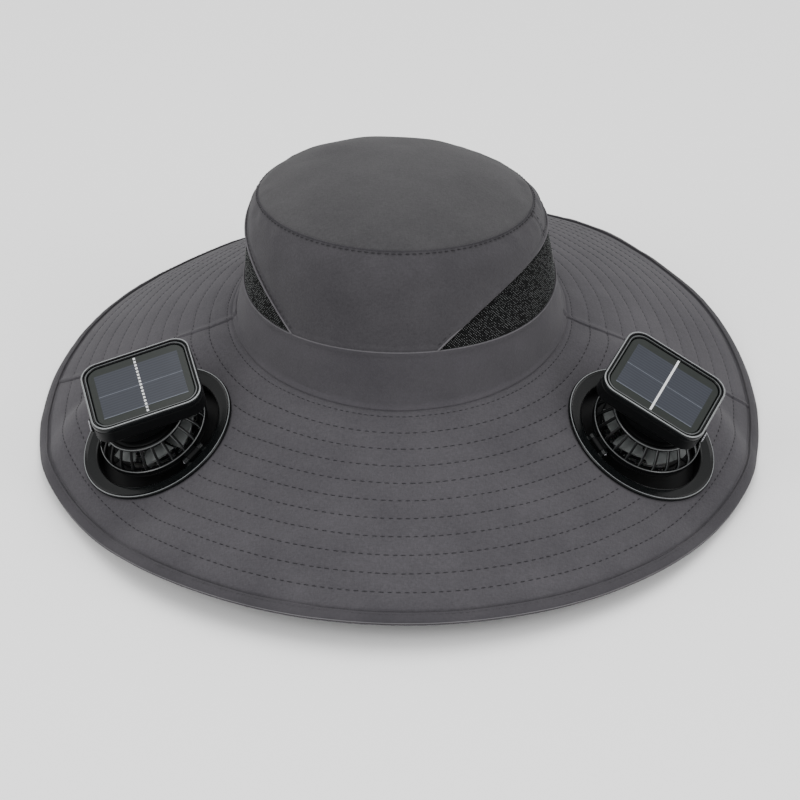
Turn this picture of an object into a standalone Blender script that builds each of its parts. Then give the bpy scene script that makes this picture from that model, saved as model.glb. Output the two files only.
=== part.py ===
"""Wide-brimmed cloth sun hat with two hinged, solar-powered fans set into its brim.

Metres, +Z up. The viewer's side, the front, is -Y. Azimuths run anticlockwise from +X.
The cloth is shaped about the seam plane, where the band meets the brim, and the whole
hat is then stood on the lowest point of its brim.
"""

import math
from collections import namedtuple

import bmesh
import bpy
from mathutils import Matrix, Vector

# Cloth and clearances
CLOTH = 0.0012
BAND_CLOTH = 0.0015
BRIM_CLOTH = 0.0015
GAP = 0.0003
SEAM_GAP = 0.0004
BINDING_GAP = 0.0006

# Head oval at the seam between band and brim
HEAD_HALF_WIDTH = 0.092
HEAD_HALF_LENGTH = 0.112

# Band
BAND_HEIGHT = 0.026
BAND_SADDLE = 0.0044
BAND_INSET = 0.0045

# Crown
CROWN_HEIGHT = 0.0707
CROWN_SIDE_INSET = 0.0157
CROWN_FRONT_INSET = 0.0250
TIP_LEAN_BACK = -0.11
TIP_LEAN_SIDE = -0.0265
TIP_DOME = 0.0193
TIP_DOME_POWER = 2.9
TIP_SHIFT = -0.0024

# Vents of netting at the crown's sides, each an arch over the band
VENT_HEIGHT = 0.033
VENT_HALF_SPAN = math.radians(62.0)
VENT_ARCH_POWER = 2.5
VENT_MIN_HEIGHT = 0.002

# Brim
BRIM_SLANT = 0.1326
BRIM_DROOP = math.radians(27.0)
BRIM_CURL = math.radians(8.8)
BRIM_LEDGE = 0.0018
BINDING_WIDTH = 0.0048
BINDING_CLOTH = 0.0010
BOUND_WIDTH = BINDING_WIDTH + 2.0 * SEAM_GAP

# Fan units: seat in the brim
FAN_DISTANCE = 0.069
FAN_SINK = 0.0020
FLANGE_RADIUS = 0.045
FLANGE_RISE = 0.0020
OPENING_RADIUS = 0.0366
COLLAR_WALL = 0.0016
COLLAR_DEPTH = 0.0080
LEDGE_RADIUS = 0.0215
LEDGE_THICKNESS = 0.0012
CLAMP_RADIUS = 0.0430
CLAMP_THICKNESS = 0.0020
FLAT_MARGIN = 0.015
FLAT_FADE = 0.032

# Fan units: hinge between flange and head
HINGE_RADIUS = 0.0339
HINGE_HEIGHT = 0.0018
KNUCKLE_RADIUS = 0.0020
KNUCKLE_HALF_LENGTH = 0.0040
EAR_WIDTH = 0.0027
PIN_RADIUS = 0.0010

# Fan units: cage, rotor and motor, as heights over the brim when the head is shut
CAGE_RADIUS = 0.031
CAGE_WALL = 0.0018
CAGE_FOOT = 0.0005
CAGE_RING_TOP = 0.0040
CAGE_SHOULDER = 0.0142
CAGE_TOP = 0.0152
CAGE_PLATE = 0.0016
CAGE_TOP_RADIUS = 0.0240
CAGE_RIBS = 18
RIB_SHARE = 0.42
ROTOR_RADIUS = 0.0258
ROTOR_BLADES = 7
HUB_RADIUS = 0.0070
HUB_HEIGHT = 0.0060
BLADE_THICKNESS = 0.0012
BLADE_RISE = 0.0040
MOTOR_RADIUS = 0.0075
MOTOR_HEIGHT = 0.0052
SHAFT_RADIUS = 0.0015
GRILLE_THICKNESS = 0.0011
GRILLE_SPOKES = 8
GRILLE_HUB_RADIUS = 0.0085

# Fan units: solar panel on top
PANEL_LENGTH = 0.0615
PANEL_WIDTH = 0.0495
PANEL_CORNER = 0.0095
HOUSING_HEIGHT = 0.0200
PANEL_SHIFT = 0.0045
NECK_LENGTH = 0.038
NECK_WIDTH = 0.036
NECK_CORNER = 0.0155
NECK_SHARE = 0.28
SKIRT_SHARE = 0.62
BEZEL_WIDTH = 0.0034
BEZEL_HEIGHT = 0.0030
BEZEL_BEAD = 0.0009
PANEL_THICKNESS = 0.0017
SWITCH_LENGTH = 0.0080
SWITCH_DEPTH = 0.0016
SWITCH_HEIGHT = 0.0030
SWITCH_OFFSET = 0.22 * PANEL_WIDTH

# Facets
CROWN_COLUMNS = 20
CROWN_ROWS = 4
VENT_COLUMNS = 12
VENT_ROWS = 2
TIP_SEGMENTS = 32
TIP_RINGS = 3
BAND_SEGMENTS = 40
BRIM_COLUMNS = 28
BRIM_ROWS = 6
FLANGE_SEGMENTS = 28
HUB_SEGMENTS = 14
PIN_SEGMENTS = 12
CORNER_STEPS = 4

Droop = namedtuple("Droop", "azimuth_deg share")
BRIM_DROOP_ROWS = (
    Droop(0, 1.13),
    Droop(30, 0.94),
    Droop(60, 0.81),
    Droop(90, 0.94),
    Droop(120, 1.05),
    Droop(150, 1.09),
    Droop(180, 1.13),
    Droop(210, 1.04),
    Droop(240, 0.88),
    Droop(270, 0.87),
    Droop(300, 0.95),
    Droop(330, 1.08),
)

Profile = namedtuple("Profile", "height_share inset_share")
CROWN_PROFILE = (
    Profile(0.00, 0.00),
    Profile(0.35, 0.16),
    Profile(0.65, 0.36),
    Profile(0.85, 0.62),
    Profile(1.00, 1.00),
)

Vent = namedtuple("Vent", "name azimuth")
VENTS = (
    Vent("vent_mesh_right", math.radians(345.0)),
    Vent("vent_mesh_left", math.radians(167.0)),
)

FanUnit = namedtuple(
    "FanUnit",
    "name azimuth_deg slope_turn_deg hinge_turn_deg open_deg panel_turn_deg panel_lean_deg switch_side")
FAN_UNITS = (
    FanUnit("fan_left", 210.5, 11.0, 100.0, 6.0, -20.0, 9.0, 1),
    FanUnit("fan_right", 329.5, -8.0, -112.0, 9.0, 9.0, -1.0, -1),
)

Finish = namedtuple("Finish", "colour roughness metallic")
FINISHES = {
    "hat_cloth": Finish((0.104, 0.099, 0.110), 0.85, 0.0),
    "band_cloth": Finish((0.078, 0.073, 0.082), 0.85, 0.0),
    "netting": Finish((0.012, 0.013, 0.013), 0.70, 0.0),
    "black_gloss": Finish((0.008, 0.009, 0.010), 0.18, 0.0),
    "black_matt": Finish((0.011, 0.011, 0.012), 0.45, 0.0),
    "rotor_plastic": Finish((0.030, 0.033, 0.034), 0.40, 0.0),
    "pin_steel": Finish((0.50, 0.50, 0.52), 0.30, 1.0),
    "solar_glass": Finish((0.060, 0.070, 0.105), 0.12, 0.0),
}


# Small numeric helpers

def smoothstep(value):
    value = min(max(value, 0.0), 1.0)
    return value * value * (3.0 - 2.0 * value)


def catmull_rom(before, start, end, after, share):
    slope_start = 0.5 * (end - before)
    slope_end = 0.5 * (after - start)
    bend = 3.0 * (end - start) - 2.0 * slope_start - slope_end
    twist = 2.0 * (start - end) + slope_start + slope_end
    return start + share * (slope_start + share * (bend + share * twist))


def droop_at(azimuth):
    """Slope of the brim half way down its slant."""
    count = len(BRIM_DROOP_ROWS)
    position = math.degrees(azimuth) % 360.0 / (360.0 / count)
    index = int(position)
    shares = [BRIM_DROOP_ROWS[(index + step) % count].share for step in (-1, 0, 1, 2)]
    return BRIM_DROOP * catmull_rom(*shares, position - index)


def profile_inset(share):
    """Share of the crown's inset reached at a share of its height."""
    for low, high in zip(CROWN_PROFILE, CROWN_PROFILE[1:]):
        if share <= high.height_share:
            part = (share - low.height_share) / (high.height_share - low.height_share)
            return low.inset_share + part * (high.inset_share - low.inset_share)
    return 1.0


def spread(start, end, count):
    return [start + (end - start) * index / count for index in range(count + 1)]


# Shape of the cloth, about the seam plane

def oval_point(azimuth, side_inset, front_inset, height):
    x = (HEAD_HALF_WIDTH - side_inset) * math.cos(azimuth)
    y = (HEAD_HALF_LENGTH - front_inset) * math.sin(azimuth)
    return Vector((x, y, height))


def band_top(azimuth):
    return BAND_HEIGHT - BAND_SADDLE * math.cos(2.0 * azimuth)


def tip_seam_height(azimuth):
    edge = oval_point(azimuth, CROWN_SIDE_INSET, CROWN_FRONT_INSET, 0.0)
    return CROWN_HEIGHT + TIP_LEAN_SIDE * edge.x + TIP_LEAN_BACK * edge.y


def wall_point(azimuth, share):
    """Point of the crown's wall at a share of the way from the band to the tip seam."""
    inset = profile_inset(share)
    side = BAND_INSET + inset * (CROWN_SIDE_INSET - BAND_INSET)
    front = BAND_INSET + inset * (CROWN_FRONT_INSET - BAND_INSET)
    low = band_top(azimuth)
    height = low + share * (tip_seam_height(azimuth) - low)
    return oval_point(azimuth, side, front, height) + Vector((TIP_SHIFT * share, 0.0, 0.0))


def vent_rise(azimuth):
    """Height of the vent's arch over the band, nought between the vents."""
    rise = 0.0
    for vent in VENTS:
        away = abs((azimuth - vent.azimuth + math.pi) % (2.0 * math.pi) - math.pi)
        share = min(away / VENT_HALF_SPAN, 1.0)
        rise = max(rise, VENT_HEIGHT * (1.0 - share ** VENT_ARCH_POWER))
    return rise


def share_at_rise(azimuth, rise):
    return rise / (tip_seam_height(azimuth) - band_top(azimuth))


def tip_point(azimuth, share):
    x = share * (HEAD_HALF_WIDTH - CROWN_SIDE_INSET) * math.cos(azimuth)
    y = share * (HEAD_HALF_LENGTH - CROWN_FRONT_INSET) * math.sin(azimuth)
    base = CROWN_HEIGHT + TIP_LEAN_SIDE * x + TIP_LEAN_BACK * y
    return Vector((x + TIP_SHIFT, y, base + TIP_DOME * (1.0 - share ** TIP_DOME_POWER)))


def band_point(azimuth, share):
    """Point of the band, from its top at 0 to the brim at 1."""
    top = band_top(azimuth)
    foot = GAP + BAND_CLOTH * BAND_INSET / BAND_HEIGHT
    inset = BAND_INSET * (1.0 - share)
    height = foot + (top - foot) * (1.0 - share)
    return oval_point(azimuth, inset, inset, height)


def free_brim_point(azimuth, slant):
    """Brim before the fans flatten it. It curls down a little more towards its edge."""
    if slant <= 0.0:
        return oval_point(azimuth, -slant, -slant, 0.0)
    first = droop_at(azimuth) - 0.5 * BRIM_CURL
    last = first + BRIM_CURL * slant / BRIM_SLANT
    radius = BRIM_SLANT / BRIM_CURL
    reach = radius * (math.sin(last) - math.sin(first))
    drop = radius * (math.cos(first) - math.cos(last))
    return oval_point(azimuth, -reach, -reach, -drop)


def surface_normal(surface, u, v, step=1e-5):
    along_u = surface(u + step, v) - surface(u - step, v)
    along_v = surface(u, v + step) - surface(u, v - step)
    return along_v.cross(along_u).normalized()


def fan_seat(unit):
    """Frame of a fan on the brim: X down the slope, Z out of the brim.

    The cloth gives a little under the fan, so the slope turns towards the front.
    """
    azimuth = math.radians(unit.azimuth_deg)
    centre = free_brim_point(azimuth, FAN_DISTANCE)
    normal = surface_normal(free_brim_point, azimuth, FAN_DISTANCE)
    normal.rotate(Matrix.Rotation(math.radians(unit.slope_turn_deg), 3, "Z"))
    outward = free_brim_point(azimuth, FAN_DISTANCE + 0.001) - centre
    outward = (outward - normal * outward.dot(normal)).normalized()
    side = normal.cross(outward)
    frame = Matrix((outward, side, normal)).transposed().to_4x4()
    frame.translation = centre - FAN_SINK * normal
    return frame


FAN_SEATS = {unit.name: fan_seat(unit) for unit in FAN_UNITS}


def brim_point(azimuth, slant):
    """Brim, pressed flat where a rigid fan flange clamps it."""
    point = free_brim_point(azimuth, slant)
    flat_radius = FLANGE_RADIUS + FLAT_MARGIN
    seam_fade = smoothstep(slant / (BRIM_SLANT / BRIM_ROWS * 0.9))
    for seat in FAN_SEATS.values():
        normal = seat.col[2].to_3d()
        offset = point - seat.translation
        height = offset.dot(normal)
        away = (offset - height * normal).length
        weight = seam_fade * (1.0 - smoothstep((away - flat_radius) / FLAT_FADE))
        point = point - weight * height * normal
    return point


# Mesh builders

def finish_material(name):
    material = bpy.data.materials.get(name)
    if material:
        return material
    finish = FINISHES[name]
    material = bpy.data.materials.new(name)
    material.use_nodes = True
    shader = material.node_tree.nodes["Principled BSDF"]
    shader.inputs["Base Color"].default_value = (*finish.colour, 1.0)
    shader.inputs["Roughness"].default_value = finish.roughness
    shader.inputs["Metallic"].default_value = finish.metallic
    material.diffuse_color = (*finish.colour, 1.0)
    return material


def add_object(name, mesh, parent):
    piece = bpy.data.objects.new(name, mesh)
    bpy.context.scene.collection.objects.link(piece)
    piece.parent = parent
    return piece


def add_empty(name, parent, frame):
    empty = add_object(name, None, parent)
    empty.matrix_local = frame
    return empty


def close_mesh(shape, name, finish):
    bmesh.ops.remove_doubles(shape, verts=shape.verts, dist=1e-7)
    bmesh.ops.recalc_face_normals(shape, faces=shape.faces)
    mesh = bpy.data.meshes.new(name)
    shape.to_mesh(mesh)
    shape.free()
    mesh.materials.append(finish_material(finish))
    mesh.shade_smooth()
    mesh.set_sharp_from_angle(angle=math.radians(35.0))
    return mesh


def bridge(shape, low, high, cyclic=True, split=0):
    """Quads between two rows of vertices, or triangles split one way (1) or the other (-1)."""
    count = len(low)
    for index in range(count if cyclic else count - 1):
        after = (index + 1) % count
        corners = (low[index], low[after], high[after], high[index])
        if split == 0:
            shape.faces.new(corners)
            continue
        if split < 0:
            corners = corners[1:] + corners[:1]
        shape.faces.new(corners[:3])
        shape.faces.new((corners[0], corners[2], corners[3]))


def skin_loops(shape, loops, ring, splits=None):
    """Body over a row of closed loops: a ring, or a solid with its two ends capped."""
    rows = [[shape.verts.new(point) for point in loop] for loop in loops]
    for low, high, split in zip(rows, rows[1:], splits or [0] * len(rows)):
        bridge(shape, low, high, split=split)
    if ring:
        bridge(shape, rows[-1], rows[0])
    else:
        shape.faces.new(rows[0])
        shape.faces.new(rows[-1])


def circle_loop(radius, height, segments):
    turn = 2.0 * math.pi / segments
    return [
        Vector((radius * math.cos(turn * index), radius * math.sin(turn * index), height))
        for index in range(segments)
    ]


def turned(name, profile, segments, finish, parent, ring):
    """Body of revolution about Z through (radius, height) points."""
    shape = bmesh.new()
    loops = [circle_loop(radius, height, segments) for radius, height in profile]
    skin_loops(shape, loops, ring)
    return add_object(name, close_mesh(shape, name, finish), parent)


def rounded_loop(length, width, corner, height, shift=-PANEL_SHIFT):
    """Rounded rectangle. The panel's loops stand off the fan's axis, towards the crown."""
    points = []
    for quarter, (side_x, side_y) in enumerate(((1, 1), (-1, 1), (-1, -1), (1, -1))):
        centre_x = shift + side_x * (0.5 * length - corner)
        centre = Vector((centre_x, side_y * (0.5 * width - corner), height))
        for step in range(CORNER_STEPS + 1):
            angle = 0.5 * math.pi * (quarter + step / CORNER_STEPS)
            points.append(centre + corner * Vector((math.cos(angle), math.sin(angle), 0.0)))
    return points


def lofted(name, loops, finish, parent, ring=False, splits=None):
    shape = bmesh.new()
    skin_loops(shape, loops, ring, splits)
    return add_object(name, close_mesh(shape, name, finish), parent)


def box_loops(low, high):
    """Two rectangular loops that bound a box between opposite corners."""
    corners = ((low[0], low[1]), (high[0], low[1]), (high[0], high[1]), (low[0], high[1]))
    return [[Vector((x, y, height)) for x, y in corners] for height in (low[2], high[2])]


def cloth_grid(shape, surface, columns, rows, thickness):
    """Outer and inner vertices of a cloth wall at every column and row."""
    outer = []
    inner = []
    for u in columns:
        tops = [surface(u, v) for v in rows(u)]
        normals = [surface_normal(surface, u, v) for v in rows(u)]
        outer.append([shape.verts.new(top) for top in tops])
        inner.append([shape.verts.new(top - thickness * n) for top, n in zip(tops, normals)])
    return outer, inner


def cloth_panel(name, surface, columns, rows, thickness, finish, parent):
    """Open cloth panel with a rim on all four sides."""
    shape = bmesh.new()
    outer, inner = cloth_grid(shape, surface, columns, rows, thickness)
    for side in (outer, inner):
        for low, high in zip(side, side[1:]):
            bridge(shape, low, high, cyclic=False, split=1)
    for column in (0, -1):
        bridge(shape, outer[column], inner[column], cyclic=False)
    for row in (0, -1):
        bridge(shape, [c[row] for c in outer], [c[row] for c in inner], cyclic=False)
    return add_object(name, close_mesh(shape, name, finish), parent)


def cloth_ring(name, surface, segments, rows, thickness, finish, parent):
    """Cloth that runs all the way round, such as the band."""
    shape = bmesh.new()
    turns = spread(0.0, 2.0 * math.pi, segments)[:-1]
    outer, inner = cloth_grid(shape, surface, turns, lambda u: rows, thickness)
    outer_rows = [[column[row] for column in outer] for row in range(len(rows))]
    inner_rows = [[column[row] for column in inner] for row in range(len(rows))]
    path = outer_rows + inner_rows[::-1]
    for low, high in zip(path, path[1:] + path[:1]):
        bridge(shape, low, high)
    return add_object(name, close_mesh(shape, name, finish), parent)


def boolean(piece, tool, operation):
    tool.hide_render = True
    tool.display_type = "WIRE"
    modifier = piece.modifiers.new(operation.lower() + "_" + tool.name, "BOOLEAN")
    modifier.operation = operation
    modifier.object = tool


# Cloth pieces

def make_crown(parent):
    seam_right = VENTS[0].azimuth
    seam_left = VENTS[1].azimuth
    panels = (
        ("crown_front", seam_left, seam_right),
        ("crown_back", seam_right, seam_left + 2.0 * math.pi),
    )

    def wall_rows(azimuth):
        rise = vent_rise(azimuth) + SEAM_GAP
        return spread(1.0, share_at_rise(azimuth, rise), CROWN_ROWS)

    for name, start, end in panels:
        inset = 0.5 * SEAM_GAP / HEAD_HALF_WIDTH
        columns = spread(start + inset, end - inset, CROWN_COLUMNS)
        cloth_panel(name, wall_point, columns, wall_rows, CLOTH, "hat_cloth", parent)


def make_tip(parent):
    shape = bmesh.new()
    edge = 1.0 - SEAM_GAP / (HEAD_HALF_WIDTH - CROWN_SIDE_INSET)
    shares = spread(0.0, edge, TIP_RINGS + 1)[1:]
    turns = spread(0.0, 2.0 * math.pi, TIP_SEGMENTS)[:-1]
    outer, inner = cloth_grid(shape, tip_point, turns, lambda u: shares, CLOTH)
    for side, drop in ((outer, 0.0), (inner, CLOTH)):
        rows = [[column[row] for column in side] for row in range(len(shares))]
        for low, high in zip(rows, rows[1:]):
            bridge(shape, low, high)
        middle = shape.verts.new(tip_point(0.0, 0.0) - Vector((0.0, 0.0, drop)))
        for index, vertex in enumerate(rows[0]):
            shape.faces.new((vertex, rows[0][(index + 1) % TIP_SEGMENTS], middle))
    bridge(shape, [column[-1] for column in outer], [column[-1] for column in inner])
    add_object("crown_tip", close_mesh(shape, "crown_tip", "hat_cloth"), parent)


def make_vents(parent):
    share = 1.0 - (VENT_MIN_HEIGHT + 2.0 * SEAM_GAP) / VENT_HEIGHT
    reach = VENT_HALF_SPAN * share ** (1.0 / VENT_ARCH_POWER)

    def net_rows(azimuth):
        top = share_at_rise(azimuth, vent_rise(azimuth) - SEAM_GAP)
        return spread(top, share_at_rise(azimuth, SEAM_GAP), VENT_ROWS)

    for vent in VENTS:
        columns = spread(vent.azimuth - reach, vent.azimuth + reach, VENT_COLUMNS)
        cloth_panel(vent.name, wall_point, columns, net_rows, CLOTH, "netting", parent)


def make_brim(parent):
    slants = [-BRIM_LEDGE]
    slants += spread(0.0, BRIM_SLANT - BOUND_WIDTH, BRIM_ROWS)
    slants.append(BRIM_SLANT)
    inset = 0.5 * GAP / HEAD_HALF_WIDTH
    halves = (("brim_back", 0.0, math.pi), ("brim_front", math.pi, 2.0 * math.pi))
    pieces = {}
    for name, start, end in halves:
        columns = spread(start + inset, end - inset, BRIM_COLUMNS)
        pieces[name] = cloth_panel(
            name, brim_point, columns, lambda u: slants, BRIM_CLOTH, "hat_cloth", parent)
    return pieces


def outer_facet(azimuth, across):
    """Top and underside of the brim's outermost facets, across from its edge."""
    slants = (BRIM_SLANT - BOUND_WIDTH, BRIM_SLANT)
    share = 1.0 + across / BOUND_WIDTH
    tops = [brim_point(azimuth, slant) for slant in slants]
    normals = [surface_normal(brim_point, azimuth, slant) for slant in slants]
    unders = [top - BRIM_CLOTH * normal for top, normal in zip(tops, normals)]
    return tops[0].lerp(tops[1], share), unders[0].lerp(unders[1], share), normals[1]


def make_binding(parent):
    """Folded strip that wraps the brim's edge, open towards the crown.

    The faces beside the brim are split as the brim's own are, so the gap stays even.
    """
    clear = BINDING_GAP
    out = clear + BINDING_CLOTH
    fold = clear + 0.4 * BINDING_CLOTH
    Corner = namedtuple("Corner", "across depth_share lift split")
    section = (
        Corner(-BINDING_WIDTH, 0.0, clear, 1),
        Corner(clear, 0.0, clear, 0),
        Corner(clear, 1.0, -clear, -1),
        Corner(-BINDING_WIDTH, 1.0, -clear, 0),
        Corner(-BINDING_WIDTH, 1.0, -out, 0),
        Corner(fold, 1.0, -out, 0),
        Corner(out, 0.5, 0.0, 0),
        Corner(fold, 0.0, out, 0),
        Corner(-BINDING_WIDTH, 0.0, out, 0),
    )
    loops = [[] for _ in section]
    for azimuth in spread(0.0, 2.0 * math.pi, 2 * BRIM_COLUMNS)[:-1]:
        for loop, corner in zip(loops, section):
            top, under, normal = outer_facet(azimuth, corner.across)
            loop.append(top.lerp(under, corner.depth_share) + corner.lift * normal)
    splits = [corner.split for corner in section]
    return lofted("brim_binding", loops, "band_cloth", parent, ring=True, splits=splits)


# Fan pieces

def make_flange(unit, seat):
    outer = FLANGE_RADIUS
    inner = OPENING_RADIUS
    collar = inner + COLLAR_WALL
    rise = GAP + FLANGE_RISE
    profile = (
        (collar, GAP),
        (outer - 0.0006, GAP),
        (outer, 0.4 * rise),
        (outer - 0.0011, rise),
        (outer - 0.0026, 0.6 * rise),
        (inner + 0.0008, 0.5 * rise),
        (inner, 0.3 * rise),
        (inner, LEDGE_THICKNESS - COLLAR_DEPTH),
        (LEDGE_RADIUS, LEDGE_THICKNESS - COLLAR_DEPTH),
        (LEDGE_RADIUS, -COLLAR_DEPTH),
        (collar, -COLLAR_DEPTH),
    )
    name = unit.name + "_flange"
    flange = turned(name, profile, FLANGE_SEGMENTS, "black_gloss", seat, ring=True)
    for index, side in enumerate((-1.0, 1.0)):
        ear = make_ear(unit, seat, index, side)
        boolean(flange, ear, "UNION")


def make_ear(unit, seat, index, side):
    """Hinge ear on the collar: an eye for the pin and a root in the collar's wall."""
    near = KNUCKLE_HALF_LENGTH + GAP
    centre = side * (near + 0.5 * EAR_WIDTH)
    name = unit.name + "_ear_tool_" + str(index)
    frame = hinge_frame(unit)
    eye = make_eye(name, EAR_WIDTH, seat)
    eye.matrix_local = frame @ Matrix.Translation((0.0, centre, 0.0))
    root_low = (PIN_RADIUS + 2.0 * GAP, centre - 0.45 * EAR_WIDTH, -0.8 * KNUCKLE_RADIUS)
    root_high = (OPENING_RADIUS + 0.5 * COLLAR_WALL - HINGE_RADIUS,
                 centre + 0.45 * EAR_WIDTH, -0.2 * KNUCKLE_RADIUS)
    root = lofted(name + "_root", box_loops(root_low, root_high), "black_gloss", seat)
    root.matrix_local = frame
    boolean(eye, root, "UNION")
    eye.hide_render = True
    return eye


def make_eye(name, length, parent):
    """Short tube along Y with a running hole for the hinge pin."""
    half = 0.5 * length
    hole = PIN_RADIUS + GAP
    profile = ((hole, -half), (KNUCKLE_RADIUS, -half), (KNUCKLE_RADIUS, half), (hole, half))
    eye = turned(name, profile, PIN_SEGMENTS, "black_matt", parent, ring=True)
    eye.data.transform(Matrix.Rotation(0.5 * math.pi, 4, "X"))
    return eye


def hinge_frame(unit):
    """Frame on the hinge pin: X away from the fan's axis, Y along the pin."""
    turn = Matrix.Rotation(math.radians(unit.hinge_turn_deg), 4, "Z")
    return turn @ Matrix.Translation((HINGE_RADIUS, 0.0, HINGE_HEIGHT))


def make_clamp(unit, seat):
    top = -BRIM_CLOTH - GAP
    inner = OPENING_RADIUS + COLLAR_WALL + GAP
    low = top - CLAMP_THICKNESS
    profile = ((inner, top), (CLAMP_RADIUS, top), (CLAMP_RADIUS, low), (inner, low))
    turned(unit.name + "_clamp_ring", profile, FLANGE_SEGMENTS, "black_matt", seat, ring=True)


def make_hinge_pin(unit, seat):
    half = KNUCKLE_HALF_LENGTH + GAP + EAR_WIDTH
    profile = ((PIN_RADIUS, -half), (PIN_RADIUS, half))
    name = unit.name + "_hinge_pin"
    pin = turned(name, profile, PIN_SEGMENTS, "pin_steel", seat, ring=False)
    pin.data.transform(Matrix.Rotation(0.5 * math.pi, 4, "X"))
    pin.matrix_local = hinge_frame(unit)


def cut_hole(brim, unit, seat):
    radius = OPENING_RADIUS + COLLAR_WALL + GAP
    reach = FLANGE_RADIUS * 0.25
    profile = ((radius, -reach), (radius, reach))
    name = unit.name + "_hole_tool"
    tool = turned(name, profile, FLANGE_SEGMENTS, "black_matt", seat, ring=False)
    boolean(brim, tool, "DIFFERENCE")


def pierced(name, outer, inner, bars, bar_share, window, finish, parent):
    """Turned wall with a window between each pair of bars, over the rows in window."""
    shape = bmesh.new()
    turn = 2.0 * math.pi / bars
    angles = []
    for index in range(bars):
        angles.append((index - 0.5 * bar_share) * turn)
        angles.append((index + 0.5 * bar_share) * turn)

    def loop(radius, height):
        return [
            shape.verts.new((radius * math.cos(angle), radius * math.sin(angle), height))
            for angle in angles
        ]

    skins = [[loop(*point) for point in side] for side in (outer, inner)]
    count = len(angles)
    for row in range(len(outer) - 1):
        for index in range(count):
            after = (index + 1) % count
            if index % 2 == 0 or row not in window:
                for skin in skins:
                    shape.faces.new((skin[row][index], skin[row][after],
                                     skin[row + 1][after], skin[row + 1][index]))
            if row in window:
                shape.faces.new((skins[0][row][index], skins[0][row + 1][index],
                                 skins[1][row + 1][index], skins[1][row][index]))
    ends = {0: False, len(outer) - 1: False, window[0]: True, window[-1] + 1: True}
    for row, only_windows in ends.items():
        for index in range(count):
            if only_windows and index % 2 == 0:
                continue
            after = (index + 1) % count
            shape.faces.new((skins[0][row][index], skins[0][row][after],
                             skins[1][row][after], skins[1][row][index]))
    return add_object(name, close_mesh(shape, name, finish), parent)


def make_cage(unit, head):
    rim = 0.0030
    waist = 0.5 * (CAGE_RING_TOP + CAGE_SHOULDER)
    waist_radius = 0.5 * (CAGE_RADIUS + CAGE_TOP_RADIUS) + 0.0004
    plate = CAGE_TOP - CAGE_PLATE
    outer = (
        (CAGE_RADIUS, CAGE_FOOT),
        (CAGE_RADIUS, CAGE_RING_TOP),
        (waist_radius, waist),
        (CAGE_TOP_RADIUS, CAGE_SHOULDER),
        (CAGE_TOP_RADIUS - 0.0016, CAGE_TOP),
        (rim, CAGE_TOP),
    )
    inner = (
        (CAGE_RADIUS - CAGE_WALL, CAGE_FOOT),
        (CAGE_RADIUS - CAGE_WALL, CAGE_RING_TOP - 0.0002),
        (waist_radius - CAGE_WALL, waist - 0.0002),
        (CAGE_TOP_RADIUS - CAGE_WALL, CAGE_SHOULDER - 0.0012),
        (CAGE_TOP_RADIUS - CAGE_WALL - 0.0008, plate),
        (rim, plate),
    )
    name = unit.name + "_cage"
    cage = pierced(name, outer, inner, CAGE_RIBS, RIB_SHARE, (1, 2), "black_matt", head)
    knuckle = make_knuckle(unit, head)
    boolean(cage, knuckle, "UNION")


def make_knuckle(unit, head):
    """Barrel of the hinge with a tongue into the cage's base ring."""
    name = unit.name + "_knuckle_tool"
    frame = hinge_frame(unit)
    barrel = make_eye(name, 2.0 * KNUCKLE_HALF_LENGTH, head)
    barrel.matrix_local = frame
    root_low = (CAGE_RADIUS - 0.6 * CAGE_WALL - HINGE_RADIUS, -KNUCKLE_HALF_LENGTH * 0.95,
                -0.4 * KNUCKLE_RADIUS)
    root_high = (-PIN_RADIUS - 1.5 * GAP, KNUCKLE_HALF_LENGTH * 0.95, 0.7 * KNUCKLE_RADIUS)
    tongue = lofted(name + "_root", box_loops(root_low, root_high), "black_matt", head)
    tongue.matrix_local = frame
    boolean(barrel, tongue, "UNION")
    return barrel


def make_grille(unit, head):
    high = CAGE_FOOT - GAP
    low = high - GRILLE_THICKNESS
    radii = (0.0015, GRILLE_HUB_RADIUS, CAGE_RADIUS - CAGE_WALL - 0.0006, CAGE_RADIUS - GAP)
    outer = tuple((radius, high) for radius in radii)
    inner = tuple((radius, low) for radius in radii)
    name = unit.name + "_lower_grille"
    pierced(name, outer, inner, GRILLE_SPOKES, 0.22, (1,), "black_matt", head)


def make_motor(unit, head):
    top = CAGE_TOP - CAGE_PLATE - GAP
    base = top - MOTOR_HEIGHT
    profile = (
        (SHAFT_RADIUS, base - GAP - HUB_HEIGHT),
        (SHAFT_RADIUS, base),
        (MOTOR_RADIUS, base),
        (MOTOR_RADIUS, top),
    )
    turned(unit.name + "_motor", profile, HUB_SEGMENTS, "black_matt", head, ring=False)


def blade_loops(angle, low, high):
    """Sections of one pitched blade, from inside the hub to the tip."""
    loops = []
    for share in (0.0, 0.5, 1.0):
        radius = 0.6 * HUB_RADIUS + share * (ROTOR_RADIUS - 0.6 * HUB_RADIUS)
        sweep = angle + 0.25 * share
        chord = 0.30 + 0.05 * share
        corners = (
            (sweep - chord, low),
            (sweep + chord, high - BLADE_THICKNESS),
            (sweep + chord, high),
            (sweep - chord, low + BLADE_THICKNESS),
        )
        loops.append([
            Vector((radius * math.cos(turn), radius * math.sin(turn), height))
            for turn, height in corners
        ])
    return loops


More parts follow.
